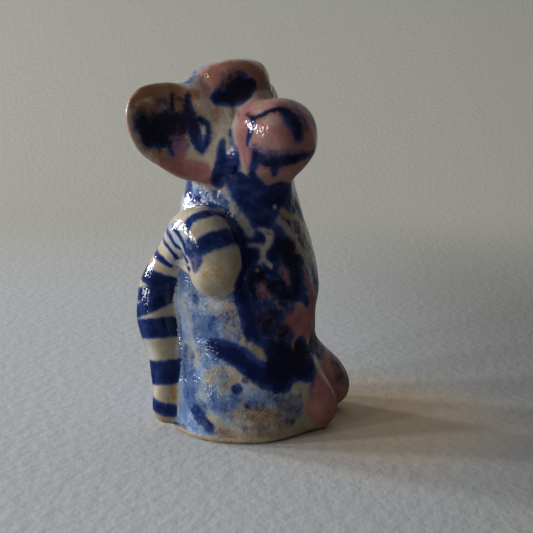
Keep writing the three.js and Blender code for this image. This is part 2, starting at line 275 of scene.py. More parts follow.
def chain_distance(p, stops, radii):
    """Least distance to a chain of tapering rods: to the nearest point on each, less the radius there."""
    best = np.full(p.shape[:-1], np.inf)
    for a, b, ra, rb in zip(stops[:-1], stops[1:], radii[:-1], radii[1:]):
        t = np.clip((p - a) @ (b - a) / max((b - a) @ (b - a), 1e-9), 0, 1)
        best = np.minimum(best, np.linalg.norm(p - a - t[..., None] * (b - a), axis=-1) - ra - t * (rb - ra))
    return best


def soft_min(a, b, k):
    """Smooth minimum: min(a, b) - k h^2 / 4 with h = max(1 - |a - b| / k, 0)."""
    return np.minimum(a, b) - k / 4 * np.maximum(1 - np.abs(a - b) / k, 0) ** 2


def head_field(p):
    """Distance from the head's centre less the reach that way."""
    length, d = ray(to_head(p))
    return length - head_reach(d)


def ridge_field(p):
    """Distance to the bead of slip before the near ear."""
    return chain_distance(to_head(p), RIDGE, RIDGE_RADII)


def muzzle_field(p):
    """Distance from the muzzle's centre less the reach that way."""
    length, d = ray(to_head(p) - MUZZLE_CENTRE)
    return length - block_reach(d, MUZZLE_HALF, MUZZLE_SQUARENESS)


def foot_field(p, name):
    """Distance from a foot's centre less the reach that way."""
    length, d = ray((p - FOOT_CENTRES[name]) @ FOOT_AXES)
    return length - block_reach(d, FOOT_HALF, BODY_SQUARENESS)


print("the head's centre lies", head_field(HEAD_CENTRE[None])[0].round(2), "mm deep")

# %% [markdown]
# ## Ears
# An ear is a thick leaf of clay, dished in front like a thumbed pad. Its outline is a rounded square with
# the lower outer corner pared off, and its rim is full rather than sharp. In the leaf's own axes x runs
# outwards, z up, and y is the thickness.

# %% Leaves
EAR_HALF = 8.9
EAR_HALF_THICK = 2.2
EAR_DISH = 2.6
EAR_SQUARENESS = 2.7
EAR_CUT = 0.36
EAR_CUT_FALL = np.radians(56)
EAR_RIM_FULLNESS = 0.6
EAR_LEAST_SLOPE = 0.12
EAR_DROP = {-1: 3.4, 1: 3.9}
EAR_SWEEP = {-1: 36, 1: 28}
EAR_LEAN = 8
EAR_OUT = 11.8
EAR_BACK = 2.6
EAR_AXES = {side: turn(2, side * EAR_SWEEP[side]) @ turn(1, -side * EAR_LEAN) for side in (-1, 1)}


def ear_middle(side):
    """The leaf's middle in the head's axes; side is -1 for the right ear and 1 for the left."""
    return np.array((side * EAR_OUT, EAR_BACK, -EAR_DROP[side]))


def ear_outline(dx, dz, side):
    """Reach of the leaf's outline along (dx, dz): a rounded square, less a share that is greatest on the
    slant down and outwards and fades with the square of the cosine from there."""
    rounded = (np.abs(dx) ** EAR_SQUARENESS + np.abs(dz) ** EAR_SQUARENESS) ** (-1 / EAR_SQUARENESS)
    slant = np.clip(side * dx * np.cos(EAR_CUT_FALL) - dz * np.sin(EAR_CUT_FALL), 0, 1)
    return EAR_HALF * rounded * (1 - EAR_CUT * slant**2)


def ear_field(p, side):
    """h^2 = rho^2 + |t|^(2/fullness), where rho is the share of the outline's reach and t the share of the
    thickness off the dished middle surface; (h - 1) is divided by its own slope to give about a distance."""
    x, y, z = np.moveaxis((to_head(p) - ear_middle(side)) @ EAR_AXES[side], -1, 0)
    level = np.hypot(x, z) + 1e-6
    rho = level / ear_outline(x / level, z / level, side)
    t = np.abs(EAR_DISH * (0.5 - rho**2) - y) / EAR_HALF_THICK
    power = 2 / EAR_RIM_FULLNESS
    h = np.sqrt(rho**2 + t**power)
    steep = np.hypot(rho / EAR_HALF, power / 2 * t ** (power - 1) / EAR_HALF_THICK) / np.maximum(h, 1e-6)
    return (h - 1) / np.maximum(steep, EAR_LEAST_SLOPE)


print("the right ear's middle lies", ear_field(from_head(ear_middle(-1))[None], -1)[0].round(2), "mm deep")

# %% [markdown]
# ## The tail
# A rolled coil of clay climbs the back and hooks over the right shoulder. Its middle line passes eight
# stations on the body: each has a turn from the back towards the right side, a height, a radius, and how
# deep the roll is pressed in. A Catmull-Rom curve joins them, because it passes through every station
# without kinks.

# %% The tail's way
TAIL_STATIONS = np.array((
    (34, 3.8, 2.8, 1.9),
    (33, 13.0, 3.3, 2.2),
    (28, 22.0, 3.5, 0.6),
    (26, 28.0, 3.3, 1.4),
    (35, 33.2, 3.3, 3.0),
    (60, 38.4, 4.3, 3.0),
    (72, 38.2, 4.8, 3.0),
    (83, 32.4, 5.0, 3.0),
))
TAIL_BEADS = 170
TAIL_MARGIN = 4.0
CHUNK = 20000


def tail_points():
    """Station centres: the body's reach plus radius less sink, along the station's turn."""
    angle, z = np.radians(TAIL_STATIONS[:, 0]), TAIL_STATIONS[:, 1]
    reach, setback = body_reach(-np.sin(angle), np.cos(angle), z)
    out = reach + TAIL_STATIONS[:, 2] - TAIL_STATIONS[:, 3]
    return np.stack((-np.sin(angle) * out, np.cos(angle) * out + setback, z), -1)


def tail_way(t):
    """Centripetal Catmull-Rom curve and its radius, t from 0 at the root to 1 at the hook's end."""
    p = tail_points()
    p = np.vstack((2 * p[0] - p[1], p, 2 * p[-1] - p[-2]))
    gaps = np.linalg.norm(np.diff(p, axis=0), axis=1) ** 0.5
    x = np.clip(t, 0, 1) * (len(p) - 3)
    i = np.clip(x.astype(int), 0, len(p) - 4)
    u = (x - i)[:, None]
    g0, g1, g2 = (gaps[i + k][:, None] for k in range(3))
    a, b, c, d = (p[i + k] for k in range(4))
    leave = ((b - a) / g0 - (c - a) / (g0 + g1) + (c - b) / g1) * g1
    arrive = ((c - b) / g1 - (d - b) / (g1 + g2) + (d - c) / g2) * g1
    rise = u * u * (3 - 2 * u)
    centre = b * (1 - rise) + c * rise + u * (1 - u) * ((1 - u) * leave - u * arrive)
    radius = smooth_table(np.clip(t, 0, 1), np.linspace(0, 1, len(TAIL_STATIONS)), TAIL_STATIONS[:, 2:3])
    return centre, radius[:, 0]


tail_centres, tail_radii = tail_way(np.linspace(0, 1, TAIL_BEADS))
tail_low = (tail_centres - tail_radii[:, None]).min(0) - TAIL_MARGIN
tail_high = (tail_centres + tail_radii[:, None]).max(0) + TAIL_MARGIN


def tail_field(p):
    """Least distance to the beads along the middle line less their radii; far points keep the margin."""
    flat = p.reshape(-1, 3)
    field = np.full(len(flat), TAIL_MARGIN)
    near = np.flatnonzero(((flat > tail_low) & (flat < tail_high)).all(1))
    for part in np.array_split(near, len(near) // CHUNK + 1):
        away = np.linalg.norm(flat[part, None] - tail_centres, axis=2) - tail_radii
        field[part] = away.min(1)
    return field.reshape(p.shape[:-1])


print("tail length", np.linalg.norm(np.diff(tail_centres, axis=0), axis=1).sum().round(1), "mm")

# %% [markdown]
# ## One skin over all the lumps
# Slip and glaze fill the joints with soft fillets. A smooth minimum of the fields does the same: where two
# fields are about equal it dips below both, by an amount set by the joint's softness. The tail was only
# pressed on, so its crease stays sharp; the head grew out of the neck, so its joint is wide, and under the
# chin it is widest. A few slow waves stand for the potter's fingers.

# %% The joined skin
PIECES = ("body", "head", "muzzle", "ear_right", "ear_left", "tail", "foot_right", "foot_left")
JOINT_SOFTNESS = (0, 6.0, 3.0, 3.2, 3.2, 1.6, 4.0, 4.0)
CHIN_SOFTNESS = 8.0
CHIN_TOP = -4
CHIN_FALL = 7
WAVE_HEIGHTS = (0.09, 0.05)
FIELDS = (
    body_field,
    head_field,
    muzzle_field,
    lambda p: ear_field(p, -1),
    lambda p: ear_field(p, 1),
    tail_field,
    lambda p: foot_field(p, "foot_right"),
    lambda p: foot_field(p, "foot_left"),
)


def fields(p, only=None):
    """The eight fields, one row for each piece, or only one of them."""
    return FIELDS[only](p) if only is not None else np.stack([field(p) for field in FIELDS])


def finger_waves(p):
    """Slow ripples of a hand-pressed surface: a sum of sines along slanting directions, about 0.1 mm high."""
    x, y, z = np.moveaxis(p, -1, 0)
    slow = np.sin(0.83 * x + 0.41 * z + 0.6) * np.sin(0.52 * y - 0.37 * z + 1.9)
    quick = np.sin(0.95 * z - 0.6 * y + 0.8 * x) * np.sin(0.7 * y + 0.5 * x)
    return WAVE_HEIGHTS[0] * slow + WAVE_HEIGHTS[1] * quick


def joined(values, p):
    """Body and head flow together; each other piece flows into those two, and the least of all these counts.
    The muzzle's joint widens from its middle down to the chin."""
    trunk = soft_min(values[0], values[1], JOINT_SOFTNESS[1])
    trunk = soft_min(trunk, ridge_field(p), RIDGE_SOFTNESS)
    fall = np.clip((CHIN_TOP - to_head(p)[..., 2]) / CHIN_FALL, 0, 1)
    softness = list(JOINT_SOFTNESS)
    softness[2] = softness[2] + (CHIN_SOFTNESS - softness[2]) * fall * fall * (3 - 2 * fall)
    return np.min([soft_min(trunk, value, k) for value, k in zip(values[2:], softness[2:])], axis=0)


def skin(p):
    """The joined field with the waves: zero on the finished surface."""
    return joined(fields(p), p) + finger_waves(p)


def slope_of(field, p, here, step=0.02):
    """Forward differences: how fast a field grows along x, y and z from its value here."""
    return np.stack([field(p + a) - here for a in np.eye(3) * step], -1) / step


def unit(v):
    """Vectors of length one."""
    return v / (np.linalg.norm(v, axis=-1, keepdims=True) + 1e-12)


print("skin field at the chin:", skin(from_head(np.array([(0.0, -12.0, -11.0)]))).round(2))

# %% [markdown]
# ## Grids that follow the skin
# Each lump starts as its own plain grid. Every point travels along its own outward ray until it lies on the
# skin. Past the joint's middle a neighbour is the one that shows, so there the grid dives under it. Both
# grids meet on the same line of the same skin, and normals taken from the skin's own slope hide the
# meeting.

# %% Settle a grid on the skin
RAY_REACH = 4.0
RAY_BACK = -1.0
SECANT_STEPS = 7
SLOPE_RANGE = (0.35, 1.5)
SEAM_OVERLAP = 0.4
SEAM_DIVE = 1.5
SEAM_TUCK = 0.006
SHOWN_WITHIN = 0.05


def settle(points, piece):
    """Secant steps along each point's own outward ray to where the skin is zero, RAY_REACH at most. Points
    that a neighbour covers are then drawn back along the ray by how much nearer the neighbour is."""
    own = PIECES.index(piece)
    ray = unit(slope_of(lambda p: fields(p, own), points, fields(points, own)))
    t, slope, last = np.zeros(len(points)), np.ones(len(points)), None
    for _ in range(SECANT_STEPS):
        here = skin(points + ray * t[:, None])
        if last is not None:
            slope = np.where(np.abs(t - last[0]) > 1e-4, (here - last[1]) / (t - last[0] + 1e-9), slope)
            slope = np.clip(slope, *SLOPE_RANGE)
        last = (t, here)
        t = np.clip(t - here / slope, RAY_BACK, RAY_REACH)
    moved = points + ray * t[:, None]
    values = fields(moved)
    height = joined(values, moved) + finger_waves(moved)
    normal = unit(slope_of(skin, moved, height))
    margin = values[own] - np.delete(values, own, axis=0).min(0)
    back = np.clip(margin - SEAM_OVERLAP, 0, SEAM_DIVE) + np.where(margin > 0, SEAM_TUCK, 0)
    shows = (margin < SHOWN_WITHIN) & (np.abs(height) < SHOWN_WITHIN)
    return moved - ray * back[:, None], normal, shows


print("points travel", RAY_REACH, "mm at most to reach the skin")

# %% [markdown]
# ## Closed meshes from grids
# A grid whose first and last rows shrink to a point, and whose columns run all the way round, is a closed
# surface. Each pole is a single vertex with a fan of triangles, and quads fill the rest. The signed volume
# of the mesh tells whether its faces point outwards; if not, their order is reversed.

# %% Mesh maker
surface = {"points": [], "normals": [], "shows": []}
objects = {}


def closed_faces(rows, columns):
    """Corner numbers of the two fans and of the quads between neighbouring rows."""
    ring = np.arange((rows - 2) * columns).reshape(rows - 2, columns) + 1
    nxt = np.roll(ring, -1, axis=1)
    last = (rows - 2) * columns + 1
    quads = np.stack((ring[:-1], ring[1:], nxt[1:], nxt[:-1]), -1).reshape(-1, 4)
    top = np.stack((np.zeros(columns, int), ring[0], nxt[0]), -1)
    bottom = np.stack((np.full(columns, last), nxt[-1], ring[-1]), -1)
    return quads, np.vstack((top, bottom))


def make_piece(name, grid, free_rows=0):
    """Turns a grid of figure points into a piece; its last free_rows rows keep their own place."""
    rows, columns = grid.shape[:2]
    points = np.vstack((grid[0, :1], grid[1:-1].reshape(-1, 3), grid[-1, :1]))
    settled, normals, shows = settle(points, name)
    if free_rows:
        kept = slice(1 + (rows - 1 - free_rows) * columns, None)
        settled[kept], normals[kept], shows[kept] = points[kept], 0, True
    settled[:, 2] = np.maximum(settled[:, 2], 0)
    quads, fans = closed_faces(rows, columns)
    a, b, c = settled[np.vstack((quads[:, :3], quads[:, [0, 2, 3]], fans))].swapaxes(0, 1)
    if (a * np.cross(b, c)).sum() < 0:
        quads, fans = quads[:, ::-1], fans[:, ::-1]
    mesh = bpy.data.meshes.new(name + "_skin")
    mesh.from_pydata(to_frame(settled).tolist(), [], quads.tolist() + fans.tolist())
    mesh.polygons.foreach_set("use_smooth", np.ones(len(mesh.polygons), bool))
    mesh.normals_split_custom_set_from_vertices(normals.tolist())
    piece = bpy.data.objects.new(name + "_skin", mesh)
    bpy.context.scene.collection.objects.link(piece)
    objects[name] = piece
    for key, value in zip(surface, (settled, normals, shows)):
        surface[key].append(value)
    print(name, len(points), "points,", int(shows.sum()), "on the skin")


print("the smallest closed grid has", sum(map(len, closed_faces(4, 3))), "faces")

# %% [markdown]
# ## The body's grid
# The body is one profile carried round its axis: over the neck's dome, down the side, round the foot ring's
# edge, across the flat ring, and up into the hollow that was pressed in from below so that the clay fires
# without cracking.

# %% Body
HOLLOW_MOUTH = 8.5
HOLLOW_TOP = 6.0
HOLLOW_CROWN = 24.0
HOLLOW_SETBACK = 1.4


def body_grid(columns=320, dome_rows=14, side_rows=190, foot_rows=9, ring_rows=14, cone_rows=26, cap_rows=12):
    """Rings in rows. Outside: the oval's reach less an inset, times a share. Inside: the hollow's circles."""
    around = np.linspace(0, 2 * np.pi, columns, endpoint=False)
    dx, dy = -np.sin(around), np.cos(around)
    dome = np.radians(np.linspace(0, 90, dome_rows))
    foot = np.radians(np.linspace(0, 90, foot_rows))[1:]
    side = np.linspace(NECK_HEIGHT, FOOT_ROUND, side_rows)[1:]
    z = np.concatenate((NECK_HEIGHT + NECK_DOME * np.cos(dome), side, FOOT_ROUND * (1 - np.sin(foot))))
    share = np.concatenate((np.sin(dome), np.ones(len(side) + len(foot))))
    reach, setback = body_reach(dx[None], dy[None], z[:, None])
    out = (reach - foot_inset(z)[:, None]) * share[:, None]
    outside = np.stack((dx * out, dy * out + setback, np.broadcast_to(z[:, None], out.shape)), -1)
    cap = np.radians(np.linspace(0, 90, cap_rows))
    rise = np.linspace(0, HOLLOW_CROWN, cone_rows)[:-1]
    hollow_z = np.concatenate((rise, HOLLOW_CROWN + HOLLOW_TOP * np.sin(cap)))
    cone = np.linspace(HOLLOW_MOUTH, HOLLOW_TOP, cone_rows)[:-1]
    radius = np.concatenate((cone, HOLLOW_TOP * np.cos(cap)))[:, None]
    level = np.broadcast_to(hollow_z[:, None], (len(radius), columns))
    hollow = np.stack((dx * radius, dy * radius + HOLLOW_SETBACK, level), -1)
    t = np.linspace(0, 1, ring_rows)[1:-1, None, None]
    ring = outside[-1] * (1 - t) + hollow[0] * t
    return np.concatenate((outside, ring, hollow)), len(ring) + len(hollow) - 1


body, free_rows = body_grid()
make_piece("body", body, free_rows)

# %% [markdown]
# ## Round lumps
# The head, muzzle and feet are grids of latitude and longitude. The direction at each grid point is
# stretched to the block's reach, then put into the figure's axes.

# %% Head, muzzle and feet
HEAD_GRID = (170, 250)
MUZZLE_GRID = (130, 190)
FOOT_GRID = (110, 170)


def directions(rows, columns):
    """Unit vectors on a grid: rows run from the upper pole to the lower one, columns go round."""
    polar = np.linspace(0, np.pi, rows)[:, None]
    around = np.linspace(0, 2 * np.pi, columns, endpoint=False)[None]
    up = np.broadcast_to(np.cos(polar), (rows, columns))
    return np.stack((np.sin(polar) * np.cos(around), np.sin(polar) * np.sin(around), up), -1)


d = directions(*HEAD_GRID)
make_piece("head", from_head(d * head_reach(d)[..., None]))
d = directions(*MUZZLE_GRID)
ball = d * block_reach(d, MUZZLE_HALF, MUZZLE_SQUARENESS)[..., None]
make_piece("muzzle", from_head(ball + MUZZLE_CENTRE))
d = directions(*FOOT_GRID)
wedge = d * block_reach(d, FOOT_HALF, BODY_SQUARENESS)[..., None] @ FOOT_AXES.T
for name, centre in FOOT_CENTRES.items():
    make_piece(name, wedge + centre)

# %% [markdown]
# ## Ear and tail grids
# The leaf is also a sphere's grid, with its poles at the middle of the two faces so that the rim gets
# plenty of rows. The tail is a ring of points carried along its middle line, closed by half balls at both
# ends.

# %% Ears


def ear_grid(side, rows=150, columns=220):
    """Polar grid: sin(polar) is the share of the outline, cos(polar)^fullness the share of the thickness."""
    d = directions(rows, columns)
    dx, dz = np.moveaxis(unit(d[..., :2] + 1e-9), -1, 0)
    rho = np.hypot(d[..., 0], d[..., 1])
    thick = np.sign(d[..., 2]) * np.abs(d[..., 2]) ** EAR_RIM_FULLNESS
    reach = rho * ear_outline(dx, dz, side)
    leaf = np.stack((dx * reach, EAR_DISH * (0.5 - rho**2) - thick * EAR_HALF_THICK, dz * reach), -1)
    return from_head(leaf @ EAR_AXES[side].T + ear_middle(side))


make_piece("ear_right", ear_grid(-1))
make_piece("ear_left", ear_grid(1))

# %% Tail
TAIL_SIDEWAYS = (-1, 0.2, 0.1)


def tail_grid(rows=240, columns=88, cap_rows=18, step=0.002):
    """Rings across the middle line; towards an end the ring shrinks as a half ball and runs past the end."""
    cap = np.radians(np.linspace(0, 90, cap_rows, endpoint=False))
    t = np.concatenate((np.zeros(cap_rows), np.linspace(0, 1, rows), np.ones(cap_rows)))
    share = np.concatenate((np.sin(cap), np.ones(rows), np.sin(cap[::-1])))
    past = np.concatenate((-np.cos(cap), np.zeros(rows), np.cos(cap[::-1])))
    centre, radius = tail_way(t)
    along = unit(tail_way(np.minimum(t + step, 1))[0] - tail_way(np.maximum(t - step, 0))[0])
    across = unit(np.cross(TAIL_SIDEWAYS, along))
    lift = np.cross(along, across)
    around = np.linspace(0, 2 * np.pi, columns, endpoint=False)[None, :, None]
    ring = np.cos(around) * across[:, None] + np.sin(around) * lift[:, None]
    middle = centre + along * (past * radius)[:, None]
    return middle[:, None] + ring * (share * radius)[:, None, None]


make_piece("tail", tail_grid())

# %% [markdown]
# ## A brush that finds the clay
# Marks are placed the way a decorator works: look at the figure from one side, and touch the surface that
# is seen first. The photograph is one such view, in its own pixels; plain side views in millimetres serve
# the hidden sides. Each stroke is a chain of touched points with a half width, and its distance to every
# point of the skin is stored as a number on the mesh. Distances, unlike a pixel image, stay sharp at any
# scale and run across seams.

# %% Views to paint from
points = np.concatenate(surface["points"])
normals = np.concatenate(surface["normals"])
shows = np.concatenate(surface["shows"])
TOUCH_RING = 0.45
TOUCH_SLACK = 0.1
TOUCH_DEPTH = 1.0


def photo_view(p):
    """Perspective: pixels right and down, depth along the look, and millimetres for a pixel at that depth."""
    away = p - eye
    depth = away @ look
    scale = depth / FOCAL_PX
    across, down = away @ picture_right / scale, -(away @ picture_up) / scale
    return PHOTO_SIZE / 2 + across, PHOTO_SIZE / 2 + down, depth, scale


def side_view(degrees):
    """Straight-on view from a turn round the axis: millimetres right of the axis and above the table."""
    a = np.radians(degrees)
    right, back = np.array((np.cos(a), np.sin(a), 0)), np.array((np.sin(a), -np.cos(a), 0))
    return lambda p: (p @ right, p[..., 2], -(p @ back), np.ones(p.shape[:-1]))


shown = np.flatnonzero(shows)


def touch(seen, across, down):
    """The first surface point at a place in a view: of the front points within a small ring, the nearest."""
    u, v, depth, scale = seen
    apart = np.hypot(u - across, v - down) * scale
    ring = np.flatnonzero(apart < max(TOUCH_RING, apart.min() + TOUCH_SLACK))
    front = ring[depth[ring] < depth[ring].min() + TOUCH_DEPTH]
    return shown[front[apart[front].argmin()]]


print(len(points), "points to paint,", int(shows.sum()), "of them on the skin")

# %% Strokes
PIGMENTS = ("cobalt", "sky", "pink", "umber", "ochre")
FULL = 4.0
PIECE_WITHIN = 0.7
STOP_GAP = 1.6
AWAY_LIMIT = -0.3
DOT_LENGTH = 0.5
paint = {pigment: np.full(len(points), FULL) for pigment in PIGMENTS}
closeness = fields(points)


def lay(pigment, stops, radii, soft, thin, on, wipe, facing):
    """Keeps the least distance divided by soft, or for a wipe lifts the paint off; thin caps its density."""
    reach = radii.max() + FULL * soft
    inside = ((points > stops.min(0) - reach) & (points < stops.max(0) + reach)).all(1)
    inside &= normals @ facing > AWAY_LIMIT
    if on:
        inside &= closeness[[PIECES.index(name) for name in on.split()]].min(0) < PIECE_WITHIN
    at = np.flatnonzero(inside)
    value = np.clip(chain_distance(points[at], stops, radii) / soft, -FULL, FULL)
    if wipe:
        paint[pigment][at] = np.maximum(paint[pigment][at], np.minimum(-value, thin))
    else:
        paint[pigment][at] = np.minimum(paint[pigment][at], np.maximum(value, -thin))


def brush(pigment, path, seen, soft=1.6, thin=FULL, on="", wipe=False, twin=None):
    """One stroke through (across, down, half width) places of a view, soft in the view's own unit.
    A single place is a dot. A twin is laid on whatever side it falls."""
    path = np.array(path, float)
    if len(path) == 1:
        path = np.vstack((path, path + (DOT_LENGTH, 0, 0)))
    legs = np.hypot(*np.diff(path[:, :2], axis=0).T)
    at = np.concatenate(((0,), np.cumsum(legs)))
    unit_mm = np.median(seen[3])
    count = max(2, int(at[-1] * unit_mm / STOP_GAP) + 1)
    steps = np.linspace(0, at[-1], count)
    places = np.stack([np.interp(steps, at, path[:, k]) for k in range(3)], -1)
    found = np.array([touch(seen, u, v) for u, v, _ in places])
    stops, facing = points[found], unit(normals[found].mean(0))
    radii = places[:, 2] * unit_mm
    lay(pigment, stops, radii, soft * unit_mm, thin, on, wipe, facing)
    if twin:
        lay(pigment, twin(stops), radii, soft * unit_mm, thin, on, wipe, facing * 0)


print("pigments:", ", ".join(PIGMENTS))

# %% [markdown]
# ## Strokes by name
# The marks of each region are kept in a table, each with a plain name, so that one can be found and changed
# without hunting. A place is two coordinates of the view and a half width. A stroke may be thin, so that
# the clay shows through, it may lift paint off again, and it may have a twin on the side that the
# photograph hides. Iron under cobalt turns it smoky black.

# %% Tables of strokes
PHOTO = photo_view(points[shown])


def stroke(pigment, *path, **manner):
    """Notes one stroke: pigment, (across, down, half width) places, and in what it differs from the rest."""
    return {"pigment": pigment, "path": path, **manner}


def paint_all(strokes, seen=PHOTO, **usual):
    """Lays named strokes in their order; usual holds what they share unless a stroke says otherwise."""
    for mark in strokes.values():
        brush(seen=seen, **{**usual, **mark})
    print(len(strokes), "strokes, from", next(iter(strokes)), "to", next(reversed(strokes)))


def dip(pigment, centre, radius, soft, thin=FULL):
    """Paint on all the skin within a distance of one point, as if that end had been dipped."""
    value = (np.linalg.norm(points - centre, axis=1) - radius) / soft
    paint[pigment][:] = np.minimum(paint[pigment], np.clip(value, -thin, FULL))


print(len(PHOTO[0]), "points can be touched in the photograph's view")

# %% [markdown]
# ## The face
# Pink and a brown iron wash cover the forehead, fading to bare cream on the cheek, and a ragged dark blue
# patch fills the eye socket. Marks on the near half of the face get a twin on the far half.

# %% Paint the face
FACE_TWIN_TURN = 10


def mirror_head(p):
    """About the same place on the other half of the face, turned a little further round."""
    return from_head((to_head(p) * (-1, 1, 1)) @ turn(2, FACE_TWIN_TURN).T)


FACE = {
    "temple pink": stroke("pink", (203, 70, 5), (205, 82, 5), (208, 93, 4), soft=5, thin=0.3),
    "forehead pink": stroke("pink", (216, 67, 9), (232, 67, 9), (250, 68, 8), (261, 76, 7), soft=5),
    "brow pink": stroke("pink", (217, 80, 9), (228, 82, 8), soft=4),
    "forehead iron": stroke(
        "umber", (224, 66, 6), (243, 64, 8), (258, 68, 9), (266, 82, 8), soft=6, thin=0.35,
    ),
    "brow iron": stroke("umber", (221, 86, 5), (232, 79, 7), (242, 72, 5), soft=5, thin=0.9),
    "crown iron": stroke("umber", (214, 72, 8), (230, 66, 10), (248, 62, 8), soft=6, thin=0.4),
    "eye smoke": stroke("umber", (222, 98, 4), (230, 97, 6), (238, 92, 8), (246, 86, 7), soft=4, thin=0.8),
    "eye patch": stroke(
        "cobalt", (219, 98, 8), (227, 98, 10), (236, 93, 12.5), (243, 87, 12), (250, 85, 8), soft=2,
    ),
    "eye haze": stroke("cobalt", (219, 91, 4), (228, 84, 6), (237, 77, 7), (245, 76, 5), soft=6, thin=0.4),
    "far brow iron": stroke(
        "umber", (260, 62, 8), (266, 74, 9), (270, 86, 9), (273, 92, 8), soft=4, thin=1.0, twin=None,
    ),
    "far brow pink": stroke("pink", (262, 63, 8), (268, 78, 9), (271, 88, 8), soft=4, twin=None),
    "bare cheek": stroke("pink", (213, 109, 6), (224, 116, 9), (235, 118, 4), soft=3, wipe=True),
    # Painted reflection: the crown's top edge is cleared of pink and given a thin pale blue, standing for the
    # ceiling's grazing reflection.
    "crown edge cleared for the painted reflection": stroke(
        "pink", (206, 59, 4), (230, 57, 3.4), (254, 58, 3), soft=3, wipe=True, twin=None,
    ),
    "painted reflection on the crown edge": stroke("sky", (206, 59, 4), (230, 57, 3), soft=3, thin=0.2, twin=None),
    "cheek shade": stroke("umber", (220, 116, 6), (234, 116, 5), soft=5, thin=-0.1, twin=None),
    "back of head wash": stroke("sky", (189, 81, 9), (196, 72, 9), (206, 62, 7), soft=3),
    "back of head blue": stroke("cobalt", (186, 80, 6), (191, 72, 6), (201, 64, 4), soft=3, thin=0.3),
}
paint_all(FACE, twin=mirror_head)

# %% [markdown]
# ## The ears
# A smoky blue-black bruise fills the dish; the rim stays brown above and pink below. Blue dabs run down
# beside the cheek, where a small cream eye is left in the paint.

# %% Paint the ears
EARS = {
    "upper rim": stroke(
        "umber", (130, 106, 4), (135, 97, 6), (147, 92, 7), (166, 91, 7), (183, 92, 7), (195, 95, 5),
        soft=4,
    ),
    "outer rim": stroke(
        "umber", (136, 114, 5), (137, 130, 6), (148, 147, 6), (162, 155, 5), soft=5, thin=0.3,
    ),
    "lower rim pink": stroke(
        "pink", (128, 112, 3), (128, 124, 4), (132, 138, 5), (142, 152, 6), (156, 162, 6), soft=4,
        thin=-0.35,
    ),
    "dish smoke": stroke(
        "umber", (148, 114, 14), (154, 132, 16), (170, 126, 17), (186, 116, 14), soft=8, thin=1.2,
    ),
    "dish pink": stroke("pink", (176, 136, 6), (180, 146, 8), (178, 158, 8), soft=3),
    "lobe pink": stroke("pink", (164, 164, 6), (184, 168, 9), (200, 172, 11), (209, 180, 8), soft=3),
    "lobe cleared": stroke(
        "umber", (178, 150, 4), (184, 158, 7), (182, 166, 8), (202, 172, 11), soft=4, wipe=True,
    ),
    "upper bruise": stroke(
        "cobalt", (144, 120, 10), (147, 132, 11), (158, 122, 13), (170, 119, 10), (183, 118, 9), soft=6,
        thin=1.6,
    ),
    "lower bruise": stroke(
        "cobalt", (150, 138, 11), (160, 139, 11), (168, 143, 6), (171, 153, 3), soft=5, thin=1.6,
    ),
    "bruise haze": stroke("cobalt", (150, 126, 15), (166, 124, 15), (182, 122, 13), soft=8, thin=0.9),
    # Partly thin glaze on the rim's edge, partly painted rim light: the brown is lifted off the ear's outer
    # rim.
    "rim edge paled by thin glaze and painted rim light": stroke(
        "umber", (127, 102, 3), (127, 113, 4), (129, 126, 5), (135, 141, 5), (147, 156, 5), soft=3,
        wipe=True, thin=2.0, twin=None,
    ),
    "bruise trail": stroke("cobalt", (174, 138, 7), (183, 144, 6), soft=5, thin=0.1),
    "short dab": stroke("cobalt", (171.5, 95, 2), (172, 108, 4), soft=3),
    "long dab": stroke(
        "cobalt", (187, 96, 3.4), (188, 108, 6), (192, 122, 9), (195, 134, 8.5), (199, 146, 6), soft=2.6,
    ),
    "rim shade": stroke("umber", (154, 98, 5), (170, 99, 5), (188, 100, 5), soft=4, thin=1.0),
    "rim haze": stroke("cobalt", (160, 102, 4), (182, 103, 4), soft=4, thin=0.0),
    "loop by the cheek": stroke(
        "cobalt", (199, 119, 4.4), (206, 124, 4), (208.5, 133, 4), (206, 144, 4.4), (202, 150, 4.4),
        soft=2.4, thin=1.6, twin=None,
    ),
    "cream in the loop": stroke(
        "cobalt", (203.5, 127.5, 1.8), (204, 133, 1.8), soft=1.6, wipe=True, thin=0.8, twin=None,
    ),
}
paint_all(EARS, twin=mirror_head)

# %% [markdown]
# ## The muzzle
# The whole ball is dipped in pink. One brush line starts thin beside the cheek, arches over the nose and
# ends in a thick dark nostril; a broad ragged band makes the mouth.

